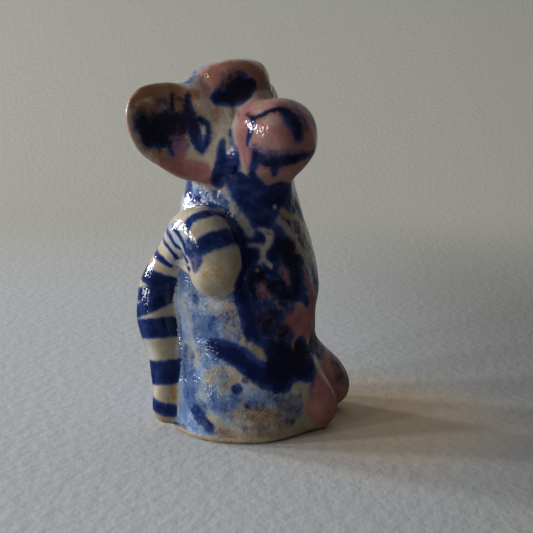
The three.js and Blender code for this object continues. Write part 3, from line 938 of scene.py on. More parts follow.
# %% Paint the muzzle
MUZZLE_DIP = 7.9
MUZZLE_DIP_SOFT = 0.8
dip("pink", from_head(MUZZLE_CENTRE), MUZZLE_DIP, MUZZLE_DIP_SOFT)
MUZZLE = {
    "cheek side pink": stroke(
        "pink", (240, 114, 4), (243, 124, 6), (244, 138, 7), (246, 152, 7), (249, 166, 5), soft=4,
    ),
    "chin pink": stroke("pink", (258, 170, 8), (268, 180, 9), (283, 178, 9), (294, 171, 6), soft=3),
    # Partly tan paint, partly painted highlight: the pink is thinned on the top of the muzzle.
    "tan paint and painted highlight on the bridge": stroke("pink", (258, 104, 7), (272, 118, 6), soft=5, wipe=True, thin=-0.2),
    # Painted sheen: the pink is thinned to a paler colour on the muzzle's lit side, a painted broad
    # reflection.
    "painted sheen on the lit side": stroke("pink", (256, 138, 8), (268, 146, 9), soft=6, wipe=True, thin=-0.35),
    "nose line": stroke(
        "cobalt", (246, 114, 1.2), (251, 119, 3.2), (261, 115.5, 2.6), (270, 111, 2.6), (280, 108, 3.4),
        soft=2.2, thin=1.6,
    ),
    "nostril": stroke(
        "cobalt", (279, 108.5, 4.4), (286, 112, 7.4), (292, 118, 9), (296, 127, 8.6), (298.5, 136, 6),
        soft=4, thin=1.5,
    ),
    "nose line smoke": stroke(
        "umber", (247, 114, 2), (252, 120, 3.6), (261, 117, 3), (270, 112, 3), (280, 109, 4), soft=4,
        thin=0.7,
    ),
    "nostril smoke": stroke(
        "umber", (286, 112, 5), (293, 119, 7), (297, 128, 7), (299, 136, 5), soft=5, thin=0.5,
    ),
    "far side iron": stroke(
        "umber", (303, 102, 3), (311, 110, 4), (315, 120, 4), soft=4, thin=0.4, twin=mirror_head,
    ),
    "line down the cheek": stroke(
        "cobalt", (253, 120, 3.6), (251, 128, 4), (249, 136, 3.2), (247, 145, 2), soft=2,
    ),
    "far side haze": stroke(
        "cobalt", (301, 102, 2), (308, 107, 3.6), (313, 116, 4), (315, 128, 3), soft=4, thin=0.8,
        twin=mirror_head,
    ),
    "mouth": stroke(
        "cobalt", (257, 157, 8), (264, 161, 6.6), (273, 164, 9), (281, 161, 8.6), (289, 160, 7.4), soft=4,
        thin=1.7,
    ),
    "mouth end": stroke(
        "cobalt", (289, 160, 7.4), (299, 158, 5.4), (312, 153, 3.4), (318, 148, 3.4), soft=3.4, thin=1.7,
    ),
    "mouth bleed": stroke(
        "cobalt", (256, 150, 5), (266, 155, 5), (278, 155, 5), (290, 153, 4), (304, 154, 3), soft=5,
        thin=0.15,
    ),
    "nick under the mouth": stroke("cobalt", (264, 171, 2.4), (268, 168, 2), soft=2.4, wipe=True),
    "nick at the end": stroke("cobalt", (303, 164, 3), (313, 159, 2.4), soft=2.4, wipe=True),
    "mouth leg": stroke(
        "cobalt", (256, 152, 5), (255, 166, 5.4), (254, 178, 6), (256, 190, 9), soft=3, thin=1.8,
    ),
    "mouth smoke": stroke(
        "umber", (258, 158, 6), (273, 164, 7), (289, 160, 6), (305, 156, 4), soft=5, thin=0.2,
    ),
}
paint_all(MUZZLE)

# %% [markdown]
# ## Neck and chest
# Broad cobalt strokes run down the neck and pool on the chest, smoky where iron lies under them; gaps of
# cream were left between the dabs.

# %% Paint the neck
FLANK_TWIN_TURN = 9
FLANK_TWIN_RISE = 1.0


def far_side(p):
    """About the same place on the body's other flank, turned and raised a little so as not to be a copy."""
    return (p * (-1, 1, 1)) @ turn(2, FLANK_TWIN_TURN).T + UP * FLANK_TWIN_RISE


NECK = {
    "tall spike": stroke(
        "cobalt", (230.5, 130, 2.2), (231, 140, 3.2), (233, 154, 8), (237, 176, 9), soft=2, thin=1.7,
    ),
    "short spike": stroke("cobalt", (223, 142, 4), (222, 160, 6), (219, 180, 8), soft=2, thin=1.7),
    "spike root": stroke("cobalt", (234, 150, 6), (236, 162, 8), (231, 174, 10), soft=3, thin=1.8),
    "gap between spikes": stroke("cobalt", (227.5, 138, 1.4), (227.5, 154, 1.2), soft=1.6, wipe=True),
    "gap to the muzzle": stroke("cobalt", (241, 150, 2.4), (244, 166, 2.4), soft=2, wipe=True),
    "collar": stroke(
        "cobalt", (222, 174, 8), (240, 184, 13), (260, 192, 15), (278, 192, 13), (292, 190, 10), soft=3,
        thin=1.6,
    ),
    "throat": stroke(
        "cobalt", (238, 196, 9), (256, 206, 17), (276, 206, 17), (292, 204, 10), soft=3, thin=1.9,
    ),
    "upper chest": stroke("cobalt", (256, 222, 9), (268, 222, 11), (284, 226, 10), soft=2.4, thin=2.2),
    "throat edge": stroke("cobalt", (294, 188, 8), (297, 200, 10), (301, 214, 8), soft=3, thin=1.4),
    "shoulder wash": stroke("sky", (192, 192, 8), (208, 198, 8), (224, 202, 7), soft=3),
    "nape wash": stroke("sky", (186, 185, 8), (190, 200, 8), soft=3),
    "nape blue": stroke("cobalt", (187, 186, 6), (193, 200, 6), soft=3, thin=0.5),
    "shoulder blue": stroke("cobalt", (213, 193, 3), (226, 203, 4), soft=3, thin=0.3),
    "line above the hook": stroke(
        "cobalt", (190, 196, 3), (204, 201, 3.4), (221, 208, 4), (231, 215, 3.4), soft=2.6, thin=1.0,
        on="body", twin=None,
    ),
    "nape haze": stroke("cobalt", (197, 186, 4), (207, 190, 4), soft=4, thin=0.0, on="body", twin=None),
}
paint_all(NECK, twin=far_side)

# %% Paint the chest
CHEST = {
    "strip beside the hook": stroke(
        "cobalt", (234, 218, 5), (243, 234, 7), (247, 252, 10), (246, 268, 11), soft=2.4,
    ),
    "upper dab": stroke("cobalt", (257.5, 238.5, 8.4), soft=1.7),
    "lower dab": stroke("cobalt", (253, 253, 8.4), soft=1.7),
    "breast mass": stroke("cobalt", (273, 255, 9), (286, 250, 15), (284, 236, 12), soft=2.2),
    "lower breast": stroke("cobalt", (276, 266, 15), (297, 266, 13), (306, 284, 10), soft=2.6),
    "waist mass": stroke(
        "cobalt", (256, 276, 12), (260, 290, 13), (278, 288, 13), (296, 292, 12), soft=2.6,
    ),
    "front edge haze": stroke("cobalt", (298, 226, 8), (306, 242, 8), (312, 258, 8), soft=5, thin=0.5),
    "breast smoke": stroke(
        "umber", (279, 252, 6), (288, 248, 10), (297, 264, 12), (290, 284, 12), soft=5, thin=0.5,
    ),
    "lap smoke": stroke("umber", (272, 338, 8), (300, 356, 12), (284, 366, 16), soft=6, thin=0.3),
    "waist smoke": stroke(
        "umber", (258, 274, 6), (262, 290, 10), (280, 294, 12), (264, 318, 12), (278, 328, 12), soft=6,
        thin=0.2,
    ),
    "first streak cleared": stroke("umber", (283, 267, 3), (288, 282, 3.6), soft=3, wipe=True, thin=0.3),
    "second streak cleared": stroke(
        "umber", (260, 286, 3.4), (267, 298, 5), (271, 305, 3), soft=3, wipe=True, thin=0.5,
    ),
    "front edge smoke": stroke("umber", (297, 226, 6), (307, 242, 7), (314, 260, 6), soft=6, thin=0.15),
    "low front dab": stroke("cobalt", (300, 294, 8), (307, 303, 6), soft=3, thin=1.2),
}
paint_all(CHEST, twin=far_side)

# %% Lift cream gaps out of the chest, and pink ones at the chin
GAPS = {
    "chin": stroke(
        "cobalt", (262, 173, 5), (270, 179, 8), (281, 178, 8), (292, 172, 5), soft=2.4, wipe=True,
        twin=None,
    ),
    "drip on the chin": stroke("cobalt", (275, 167, 5), (274.5, 175, 3), soft=2.4, twin=None),
    # Painted light: the pink is thinned to a paler colour on the chin, standing for light that reaches it.
    "chin paled as painted light": stroke("pink", (266, 178, 8), (282, 178, 8), soft=5, wipe=True, thin=-0.2, twin=None),
    "gap beside the hook": stroke(
        "cobalt", (232, 205, 3.4), (239, 216, 3.6), (245, 225, 3.6), (250, 234, 3), soft=2.4, wipe=True,
        thin=0.35,
    ),
    "front edge gap": stroke(
        "cobalt", (278, 220, 2.4), (287, 229, 3), (296, 239, 4.6), (304, 252, 4.6), (310, 264, 3.6), soft=4,
        wipe=True, thin=0.35,
    ),
    "throat speck": stroke("cobalt", (275, 208, 2), soft=1.6, wipe=True),
    "throat gap": stroke("cobalt", (283, 211, 3.6), (291, 218, 3.6), soft=2.6, wipe=True),
    "gap over the upper dab": stroke(
        "cobalt", (259, 229.5, 1.4), (264, 229, 2), (271, 232, 2.2), soft=2, wipe=True, thin=0.3,
    ),
    "gap between the dabs": stroke(
        "cobalt", (250, 245.5, 1.2), (258, 247, 1.8), (268, 245.5, 2), soft=2, wipe=True, thin=0.1,
    ),
    "gap beside the dabs": stroke(
        "cobalt", (262, 247, 2.2), (263, 257, 2.4), (270, 267, 1.4), soft=2, wipe=True, thin=0.25,
    ),
    "speck under the dabs": stroke("cobalt", (257, 271, 1.6), soft=1.6, wipe=True),
    "throat ochre": stroke("ochre", (283, 212, 4), (291, 218, 4), soft=4, thin=0.1),
    "dab in the gap": stroke("cobalt", (300, 239, 3), (305, 247, 3.4), soft=2.4, thin=0.8),
}
paint_all(GAPS, twin=far_side)

# %% [markdown]
# ## Belly
# Pink shows through in streaks under the chest, and a smoky mix of pink and blue lies below, down to a
# great dark pool of cobalt at the lap.

# %% Paint the belly
BELLY = {
    "first streak": stroke("pink", (283, 268, 4), (288, 281, 5), soft=3),
    "front streak": stroke("pink", (304, 267, 4), (309, 285, 5), (313, 302, 4), soft=2),
    "second streak": stroke("pink", (260, 286, 5), (267, 298, 6), (271, 305, 4), soft=2),
    "belly pink": stroke("pink", (262, 316, 14), (276, 326, 16), (298, 318, 15), (303, 332, 14), soft=3),
    "first streak lifted": stroke("cobalt", (283, 267, 1.6), (288, 281, 2.2), soft=5, wipe=True, thin=0.0),
    "front streak lifted": stroke(
        "cobalt", (304, 267, 2.4), (309, 285, 3.4), (313, 302, 3), soft=4, wipe=True, thin=0.3,
    ),
    "second streak lifted": stroke(
        "cobalt", (260, 286, 2), (267, 298, 3.4), (271, 305, 2), soft=5, wipe=True, thin=0.15,
    ),
    "flank edge": stroke(
        "cobalt", (246, 264, 8), (240, 282, 9), (243, 298, 9), (248, 314, 9), (252, 332, 10), soft=2.4,
    ),
    "belly haze": stroke(
        "cobalt", (256, 304, 10), (270, 312, 12), (262, 330, 12), (286, 304, 10), soft=5, thin=0.75,
    ),
    "lower belly haze": stroke("cobalt", (276, 330, 12), (286, 338, 10), soft=5, thin=0.8),
    "lap front": stroke("cobalt", (301, 348, 12), (311, 358, 9), (309, 372, 11), (297, 366, 16), soft=2.6),
    "lap": stroke("cobalt", (284, 366, 20), (272, 374, 16), (283, 385, 10), soft=2.4),
    "lap top": stroke("cobalt", (256, 342, 10), (266, 352, 14), (282, 352, 14), soft=3),
    "lap band": stroke(
        "cobalt", (214, 346, 8.5), (226, 350, 11), (239, 357, 12), (251, 366, 12.5), (264, 377, 12),
        (277, 386, 9), soft=2.4,
    ),
    "gap over the band": stroke(
        "cobalt", (250, 346, 3.4), (257, 351, 4), (263, 357, 2.4), soft=3, wipe=True, thin=0.6,
    ),
    "gap ochre": stroke("ochre", (254, 348, 4), (261, 354, 4.4), soft=4, thin=0.0),
}
paint_all(BELLY, twin=far_side)

# %% [markdown]
# ## Flank and foot ring
# A thin blue wash was sponged over the flank, mottled where the clay shows through. Small cobalt dots, iron
# spots and an ochre bloom gather near the foot ring.

# %% Sponge the flank
FLANK = {
    "shoulder wash": stroke(
        "sky", (182, 258, 10), (184, 280, 13), (194, 300, 18), (206, 318, 23), soft=5, on="body",
    ),
    "middle wash": stroke(
        "sky", (196, 332, 23), (214, 345, 25), (206, 372, 25), (204, 398, 25), soft=5, on="body",
    ),
    "lower wash": stroke("sky", (212, 412, 19), (240, 398, 17), (264, 402, 13), soft=5, on="body"),
    "belly side wash": stroke("sky", (228, 300, 13), (234, 326, 13), soft=4, on="body"),
    "wash by the tail": stroke(
        "sky", (184, 276, 15), (186, 310, 16), (187, 350, 16), (187, 390, 16), (184, 416, 12), soft=4,
        on="body", twin=None,
    ),
    "upper mottle": stroke(
        "cobalt", (184, 284, 10), (194, 298, 11), (197, 316, 9), (200, 334, 7), soft=4, thin=-0.28,
    ),
    "olive bloom": stroke(
        "ochre", (212, 302, 7), (228, 312, 8), (236, 332, 7), (228, 376, 9), soft=6, thin=-0.35, twin=None,
    ),
    "thin wash": stroke(
        "sky", (214, 304, 6), (228, 312, 8), (238, 330, 7), soft=6, wipe=True, thin=-0.2, twin=None,
    ),
    "blue blot": stroke("cobalt", (216, 326, 9), (222, 319, 8), soft=4, thin=0.15),
    "upper specks": stroke(
        "cobalt", (184, 288, 3), (190, 294, 3.4), (197, 301, 3), soft=3, thin=0.2, twin=None,
    ),
    "middle specks": stroke("cobalt", (194, 318, 2.6), (196, 330, 3), soft=3, thin=0.1, twin=None),
    "lower specks": stroke("cobalt", (186, 346, 2.6), (192, 356, 3), soft=3, thin=0.1, twin=None),
    "mottle over the band": stroke("cobalt", (236, 334, 6), (228, 342, 6), soft=5, thin=-0.2),
    "middle mottle": stroke(
        "cobalt", (206, 338, 6), (204, 352, 7), (212, 366, 6), (222, 380, 6), soft=5, thin=-0.3,
    ),
    # Partly pale runs in the wash, partly painted highlight: the wash is thinned in streaks along the lit
    # left flank.
    "glaze runs and painted highlight": stroke(
        "sky", (186, 296, 3), (187, 312, 4), (188, 328, 4), (196, 362, 5), soft=4, wipe=True, thin=-0.1,
    ),
    "pale patch": stroke("sky", (210, 376, 5), (222, 372, 5), soft=4, wipe=True, thin=0.2),
    "belly side mottle": stroke("cobalt", (230, 306, 5), (234, 320, 6), soft=4, thin=-0.3),
    "lower mottle": stroke(
        "cobalt", (188, 352, 5), (188, 384, 7), (192, 400, 8), (200, 410, 8), soft=4, thin=-0.05,
    ),
    "ring mottle": stroke("cobalt", (216, 400, 8), (232, 404, 7), soft=5, thin=-0.2),
}
paint_all(FLANK, twin=far_side)

# %% Dot the foot ring
FOOT_RING = {
    "slanting dash": stroke("cobalt", (196, 410, 7), (203, 419, 8.5), (210, 428, 6), soft=3, thin=0.7),
    "rim wash": stroke(
        "sky", (180, 420, 8), (196, 428, 9), (214, 432, 6), soft=4, on="body", twin=far_side,
    ),
    "rim iron": stroke(
        "umber", (222, 434, 4), (236, 436, 4), (270, 434, 4), (288, 432, 4), soft=4, thin=-0.3, on="body",
    ),
    "corner dash": stroke("cobalt", (175, 423, 2.6), (185, 428, 3.4), soft=2, thin=0.2),
    "large dot": stroke("cobalt", (236.8, 388.8, 5.4), soft=1.6, thin=0.7, twin=far_side),
    "small dot": stroke("cobalt", (245, 379.6, 3.8), soft=1.6, thin=0.6, twin=far_side),
    "low dashes": stroke("cobalt", (249, 405, 3.4), (262, 407, 4), soft=3, thin=0.2),
    "blot by the foot": stroke(
        "cobalt", (272, 396, 6), (286, 400, 9), (297, 408, 9), (290, 418, 6), soft=4, thin=0.1,
    ),
    "cream streak in the wash": stroke(
        "sky", (208, 416, 4), (214, 421, 5), (222, 427, 4.4), soft=2, wipe=True,
    ),
    "cream streak in the cobalt": stroke(
        "cobalt", (209, 416, 2.8), (215, 421, 4), (222, 427, 3.6), soft=2, wipe=True,
    ),
    "bare patch": stroke("sky", (230, 380, 4), (224, 388, 5), soft=4, wipe=True),
    "bare speck": stroke("sky", (204, 398, 3), soft=3, wipe=True),
    "ochre bloom": stroke(
        "ochre", (239, 411, 6), (254, 413, 8), (268, 416, 7), soft=6, thin=0.1, twin=far_side,
    ),
    "bloom iron": stroke("umber", (243, 410, 3), (262, 411, 3), (272, 419, 4), soft=4, thin=0.0),
    "bloom haze": stroke("cobalt", (238, 418, 6), (256, 424, 7), (276, 416, 7), soft=5, thin=-0.45),
    "ochre by the foot": stroke("ochre", (288, 408, 5), soft=4, thin=0.3),
    "first iron spot": stroke("umber", (251.5, 417, 3.4), soft=3, thin=0.3),
    "second iron spot": stroke("umber", (264, 424, 5), soft=3, thin=0.3),
    "iron by the foot": stroke("umber", (281, 426, 5), (292, 423, 5), soft=3, thin=0.3),
    "iron on the rim": stroke("umber", (247, 431, 4), (259, 432, 5), soft=3, thin=0.0),
}
paint_all(FOOT_RING)

# %% [markdown]
# ## Tail and feet
# The tail wears cobalt rings from root to hook. On the climb each ring goes all the way round; on the hook
# and over the shoulder they are loose stripes. The feet are dipped in pink.

# %% Ring the tail
RING_THIN = 2.0
RING_REACH = 11
TAIL_RINGS = {
    "top": ((146, 275), (172, 283), 9, 1.8),
    "upper": ((140, 294), (171, 287), 7, 1.8),
    "middle": ((140, 310), (170, 297), 7.5, 1.8),
    "waist": ((142, 328), (176, 327), 10.5, 1.8),
    "lower": ((153, 373), (182, 371), 13, 2),
    "root": ((154, 405), (174, 411), 7.5, 2.4),
}


def tail_ring(start, end, half, soft):
    """A band round the roll: points near the plane through two touched places and the way out between."""
    a, b = (touch(PHOTO, *place) for place in (start, end))
    unit_mm = np.median(PHOTO[3])
    middle = (points[a] + points[b]) / 2
    across = unit(np.cross(points[b] - points[a], normals[a] + normals[b]))
    near = np.linalg.norm(points - middle, axis=1) < RING_REACH
    at = np.flatnonzero((closeness[PIECES.index("tail")] < PIECE_WITHIN) & near)
    value = (np.abs((points[at] - middle) @ across) - half * unit_mm) / (soft * unit_mm)
    paint["cobalt"][at] = np.minimum(paint["cobalt"][at], np.clip(value, -RING_THIN, FULL))


for band in TAIL_RINGS.values():
    tail_ring(*band)
print(len(TAIL_RINGS), "rings on the tail")

# %% Stripe the hook
HOOK = {
    "wash below the rings": stroke("sky", (145, 338, 4), (152, 356, 3), soft=3, thin=-0.1),
    "shoulder wash": stroke(
        "sky", (160, 232, 8), (172, 225, 8), (183, 240, 8), (188, 256, 6), soft=5, thin=0.3,
    ),
    "ochre above the root": stroke("ochre", (174, 388, 3.4), (176, 398, 3.8), soft=3, thin=0.5),
    "ochre at the root": stroke("ochre", (158, 416, 4), (166, 420, 4), soft=3, thin=0.2),
    "line over the hook": stroke(
        "cobalt", (175, 213, 2.8), (181, 207, 3), (193, 203, 3), (204, 203, 3.4), (218, 207, 4), soft=1.6,
    ),
    "upper stripe": stroke(
        "cobalt", (187, 229, 4), (189, 221, 5), (198, 215, 6), (209, 212, 6), (221, 213, 5), soft=2.4,
        thin=1.8,
    ),
    "lower stripe": stroke(
        "cobalt", (200, 249, 8), (208, 243, 9.5), (218, 240, 9), (232, 236, 8.5), (241, 237, 8), soft=2.4,
        thin=1.8,
    ),
    "run of the stripe": stroke(
        "cobalt", (189, 242, 4), (192, 252, 6), (196, 260, 7.5), (195, 269, 4), soft=2.6, thin=0.6,
    ),
    "second shoulder stripe": stroke(
        "cobalt", (166, 228, 3), (172, 240, 3.2), (180, 252, 3.4), (187, 262, 3), soft=1.6,
    ),
    "third shoulder stripe": stroke(
        "cobalt", (162, 238, 3), (170, 250, 3.2), (179, 260, 3.2), (189, 269, 2.8), soft=1.6,
    ),
    "first shoulder stripe": stroke("cobalt", (174, 226, 2.6), (181, 238, 3), (186, 252, 3.4), soft=1.6),
    "fourth shoulder stripe": stroke("cobalt", (155, 251, 4.4), (163, 260, 4.4), (171, 266, 3), soft=1.6),
    # Partly a navy strip, partly painted shade: thin cobalt darkens the hook's right edge beside the neck.
    "navy and painted shade on the hook's edge": stroke(
        "cobalt", (226, 216, 5), (238, 230, 6), (244, 250, 5), (246, 270, 4), soft=3, thin=0.7,
    ),
    "shoulder haze": stroke("sky", (176, 230, 8), (184, 246, 8), (178, 262, 7), soft=4, thin=0.0),
    "tip ochre": stroke("ochre", (206, 275, 4), (217, 268, 4), (219, 278, 4), soft=4, thin=0.0),
    "ochre under the tip": stroke("ochre", (230, 284, 7), soft=4, thin=-0.1),
}
paint_all(HOOK, on="tail")

# %% Wash the feet
FOOT_DIPS = {
    "foot_right": {"toe": (0, -4.5, -1.5), "radius": 5.4, "soft": 0.9, "thin": FULL},
    "foot_left": {"toe": (0, -3.5, -1.0), "radius": 6.6, "soft": 1.2, "thin": 0.4},
}
for name, way in FOOT_DIPS.items():
    dip("pink", FOOT_CENTRES[name] + way["toe"], way["radius"], way["soft"], way["thin"])
FEET = {
    "near foot pink": stroke(
        "pink", (322, 372, 8), (316, 392, 10), (316, 410, 12), (332, 394, 14), (332, 408, 14), soft=5,
    ),
    "far foot iron": stroke("umber", (336, 360, 9), (344, 378, 9), soft=5, thin=0.0, on="foot_left"),
    "far foot haze": stroke("cobalt", (334, 356, 7), (341, 376, 8), soft=5, thin=0.0, on="foot_left"),
    "far ear iron": stroke("umber", (276, 90, 3), (274, 84, 3), soft=2, on="ear_left"),
    "haze above the near foot": stroke(
        "cobalt", (308, 378, 7), (306, 394, 7), soft=5, thin=0.0, on="foot_right body",
    ),
}
paint_all(FEET)

# %% [markdown]
# ## The sides that the photograph hides
# The decorator went all the way round, so the same habits carry on: the chest's dabs meet at the front, the
# sponged blue covers the back with a few loose dashes, and the ears are brushed brown behind. These strokes
# are placed in plain views from the front, the far side and the back, in millimetres right of the axis and
# above the table.

# %% Paint the front
FRONT_VIEW = side_view(0)(points[shown])
FRONT = {
    "collar": stroke("cobalt", (-3, 49, 3), (1, 47, 3.4), (5, 48, 3), soft=0.6, thin=1.5),
    "throat": stroke("cobalt", (0, 43, 2), (4, 44, 2.4), soft=0.6, thin=1.2),
    "long dab": stroke("cobalt", (3.4, 39, 2), (5, 35, 2.6), (4, 31, 2.4), soft=0.7, thin=1.2),
    "haze": stroke("cobalt", (-1, 37, 1.2), (0, 33, 1.4), soft=0.8, thin=-0.1),
    "waist": stroke("cobalt", (-1, 29, 3), (3, 28, 3), soft=0.8, thin=1.6),
    "belly pink": stroke("pink", (-2, 22, 4.4), (3, 22, 4.6), soft=0.8),
    "streak": stroke("pink", (1, 27, 2.6), (2, 31, 1.6), soft=0.8),
    "streak lifted": stroke("cobalt", (1, 27, 1.4), (2, 31, 0.8), soft=0.8, wipe=True, thin=0.3),
    "lap": stroke("cobalt", (-2, 16, 2.6), (1, 14.4, 3), (5, 15.4, 2.6), soft=0.6),
}
paint_all(FRONT, FRONT_VIEW)

# %% Paint the far side
FAR_TURN = 112
FAR_VIEW = side_view(FAR_TURN)(points[shown])
FAR = {
    "head wash": stroke("sky", (0, 66, 3), (4, 61, 4), (6, 55, 4), soft=1.0),
    "head blue": stroke("cobalt", (2, 66, 1.2), (5, 60, 1.6), (6, 54, 1.6), soft=0.8, thin=0.1),
    "ear back pink": stroke("pink", (15, 60, 3), (16, 54, 3.4), soft=1.2, thin=0.5, on="ear_right"),
    "ear back iron": stroke(
        "umber", (19, 62, 2), (22, 57, 2.6), (20, 51, 2.2), soft=1.4, thin=0.6, on="ear_right",
    ),
    "ear back blue": stroke(
        "cobalt", (17.5, 61, 1.4), (18.5, 55, 1.8), (17, 51, 1.4), soft=1.0, thin=0.4, on="ear_right",
    ),
    "slanting dash": stroke("cobalt", (4, 34, 1.6), (9, 30, 2), (13, 27, 1.6), soft=0.5),
    "dot": stroke("cobalt", (6, 13, 1.0), soft=0.4, thin=0.6),
    "low dash": stroke("cobalt", (8, 8, 1.4), (12, 6, 1.6), soft=0.7, thin=0.2),
}
paint_all(FAR, FAR_VIEW)

# %% Paint the back
BACK_VIEW = side_view(180)(points[shown])
BACK = {
    "left wash": stroke("sky", (-6, 42, 5), (-7, 30, 6), (-8, 18, 6), (-7, 7, 5), soft=1.0, on="body"),
    "right wash": stroke("sky", (2, 45, 4), (0, 34, 6), (1, 22, 6), (0, 9, 6), soft=1.0, on="body"),
    "bare run": stroke("sky", (-4, 25, 1.6), (-2, 14, 2), soft=0.8, wipe=True, thin=0.2),
    "slanting dash": stroke("cobalt", (-10, 31, 1.8), (-4, 27, 2.2), (1, 22, 1.8), soft=0.5, on="body"),
    "low dash": stroke("cobalt", (-8, 13, 1.6), (-4, 9, 2), (1, 8, 1.6), soft=0.7, thin=0.4, on="body"),
    "upper blot": stroke("cobalt", (-5, 41, 1.8), (-7, 36, 2), soft=0.8, thin=0.1, on="body"),
    "right blot": stroke("cobalt", (1, 38, 1.8), (2, 31, 1.6), soft=0.8, thin=-0.1, on="body"),
    "dot": stroke("cobalt", (-3, 18, 0.9), soft=0.4, thin=0.7),
    "left nape dash": stroke("cobalt", (-5, 52, 2), (-6, 46, 2.2), soft=0.6, thin=1.4),
    "middle nape dash": stroke("cobalt", (0, 51, 1.8), (1, 45, 2), soft=0.6, thin=1.4),
    "right nape dash": stroke("cobalt", (5, 51, 1.8), (6, 46, 2), soft=0.6, thin=1.2),
    "head wash": stroke("sky", (-5, 64, 4), (-2, 58, 5), (2, 55, 5), soft=1.0),
    "head blue": stroke("cobalt", (-2, 66, 1.4), (-3, 60, 1.8), (-2, 56, 1.4), soft=0.8, thin=0.0),
    "head blot": stroke("cobalt", (3, 62, 1.4), (4, 57, 1.8), soft=0.8, thin=0.2),
}
paint_all(BACK, BACK_VIEW)

# %% [markdown]
# ## Paint on the meshes
# Each pigment's distances go on the meshes as one number for each point. One number more marks the fold
# between cheek and muzzle, where the brush left the glaze thin and dull.

# %% Store the paint on the meshes
FOLD_WIDTH = 3.4
FOLD_STRENGTH = 1.3
FOLD_FOOT = -7
FOLD_FADE = 2
to_cheek, to_muzzle = closeness[PIECES.index("head")], closeness[PIECES.index("muzzle")]
fold = np.clip(FOLD_STRENGTH - np.abs(to_cheek - to_muzzle) / FOLD_WIDTH, 0, 1)
fold *= np.clip((to_head(points)[:, 2] - FOLD_FOOT) / FOLD_FADE, 0, 1)
start = 0
for piece in objects.values():
    stop = start + len(piece.data.vertices)
    for layer_name, values in {**paint, "fold": fold}.items():
        layer = piece.data.attributes.new(layer_name, "FLOAT", "POINT")
        layer.data.foreach_set("value", values[start:stop].astype(np.float32))
    start = stop
print("stored", len(PIGMENTS), "pigments and the fold on", len(objects), "pieces")

# %% [markdown]
# ## Pigment edges
# Under a melted glaze the edge of a brush mark wanders and bleeds. A node group makes this edge for every
# pigment: it shifts the stored distance by noise and turns it into a soft mask. Being a group, it is built
# once.

# %% Node helpers


def node(tree, kind, links=(), **settings):
    """Adds a node, sets its properties, then fills its inputs: a socket is linked, a plain value is set."""
    made = tree.nodes.new(kind)
    for key, value in settings.items():
        setattr(made, key, value)
    for key, value in dict(links).items():
        socket = made.inputs[key]
        if isinstance(value, bpy.types.NodeSocket):
            tree.links.new(value, socket)
        else:
            socket.default_value = value
    return made


def math(tree, operation, a, b=0.0):
    """One sum, difference or product."""
    return node(tree, "ShaderNodeMath", {0: a, 1: b}, operation=operation).outputs[0]


def mix(tree, factor, a, b):
    """Colour between a and b."""
    return node(tree, "ShaderNodeMix", {0: factor, 6: a, 7: b}, data_type="RGBA").outputs[2]


def noise(tree, where, scale, detail=3.0, rough=0.55):
    """Cloudy noise between zero and one."""
    links = {"Vector": where, "Scale": scale, "Detail": detail, "Roughness": rough}
    return node(tree, "ShaderNodeTexNoise", links).outputs["Fac"]


def smooth_range(tree, value, low, high, out_low=0.0, out_high=1.0):
    """Carries a value from one range to another with a soft start and end."""
    links = {"Value": value, "From Min": low, "From Max": high, "To Min": out_low, "To Max": out_high}
    return node(tree, "ShaderNodeMapRange", links, interpolation_type="SMOOTHSTEP").outputs[0]


def group(name, inputs, outputs):
    """An empty shader group with named float or colour sockets; returns the tree, its inputs and outputs."""
    tree = bpy.data.node_groups.new(name, "ShaderNodeTree")
    for socket, kind in inputs.items():
        tree.interface.new_socket(socket, in_out="INPUT", socket_type="NodeSocket" + kind)
    for socket, kind in outputs.items():
        tree.interface.new_socket(socket, in_out="OUTPUT", socket_type="NodeSocket" + kind)
    return tree, tree.nodes.new("NodeGroupInput").outputs, tree.nodes.new("NodeGroupOutput").inputs


def use_group(tree, inner, links):
    """Adds a group's node to a tree and fills its inputs; returns its outputs."""
    return node(tree, "ShaderNodeGroup", links, node_tree=inner).outputs


def colour(red, green, blue):
    """A colour written as 0 to 255 display values, turned into the linear light that shaders use."""
    c = np.array((red, green, blue)) / 255
    return (*np.where(c <= 0.04045, c / 12.92, ((c + 0.055) / 1.055) ** 2.4), 1.0)


print("cream in linear light:", np.round(colour(170, 162, 146), 3))

# %% Brush edge group
EDGE_SOFTNESS = 0.9
SPECK_SCALE = 2300.0
POOL_SCALE = 420.0
POOL_DEPTH = 6.0
POOL_RANGE = (0.8, -3.0)

edge_tree, given, made = group(
    "brush_edge",
    {"Stroke": "Float", "Wander": "Float", "Grain": "Float", "Scale": "Float"},
    {"Mask": "Float", "Density": "Float"},
)
place = node(edge_tree, "ShaderNodeTexCoord").outputs["Object"]


def swing(amount, scale, *detail):
    """Noise that swings about zero, times an amount."""
    centred = math(edge_tree, "SUBTRACT", noise(edge_tree, place, scale, *detail), 0.5)
    return math(edge_tree, "MULTIPLY", centred, amount)


shift = swing(given["Wander"], given["Scale"])
speck = swing(given["Grain"], SPECK_SCALE, 3.0, 0.65)
moved = math(edge_tree, "ADD", math(edge_tree, "ADD", given["Stroke"], shift), speck)
edge_tree.links.new(smooth_range(edge_tree, moved, EDGE_SOFTNESS, -EDGE_SOFTNESS), made["Mask"])
pooled = math(edge_tree, "ADD", moved, swing(POOL_DEPTH, POOL_SCALE, 4.0))
edge_tree.links.new(smooth_range(edge_tree, pooled, *POOL_RANGE), made["Density"])
print("group", edge_tree.name, "has", len(edge_tree.nodes), "nodes")

# %% [markdown]
# ## Painted glaze
# The second group stacks the paint as on the real figure: cream clay under a clear glaze, then the pale
# wash with an olive drift in it, pink, iron brown and ochre, and cobalt last, which is thin blue at its
# edge, nearly black where it pooled and smoky where iron lies under it. Near the table the glaze was wiped
# off, so the ring is bare matt clay. The group also gives roughness and a height for the bump: slow runs in
# the glaze, and a fine orange peel.

# %% Painted glaze: sockets and slow noise
MOTTLE_SCALE = 260.0
MOTTLE_RANGE = (0.35, 0.68)
GRIT_SCALE = 1500.0

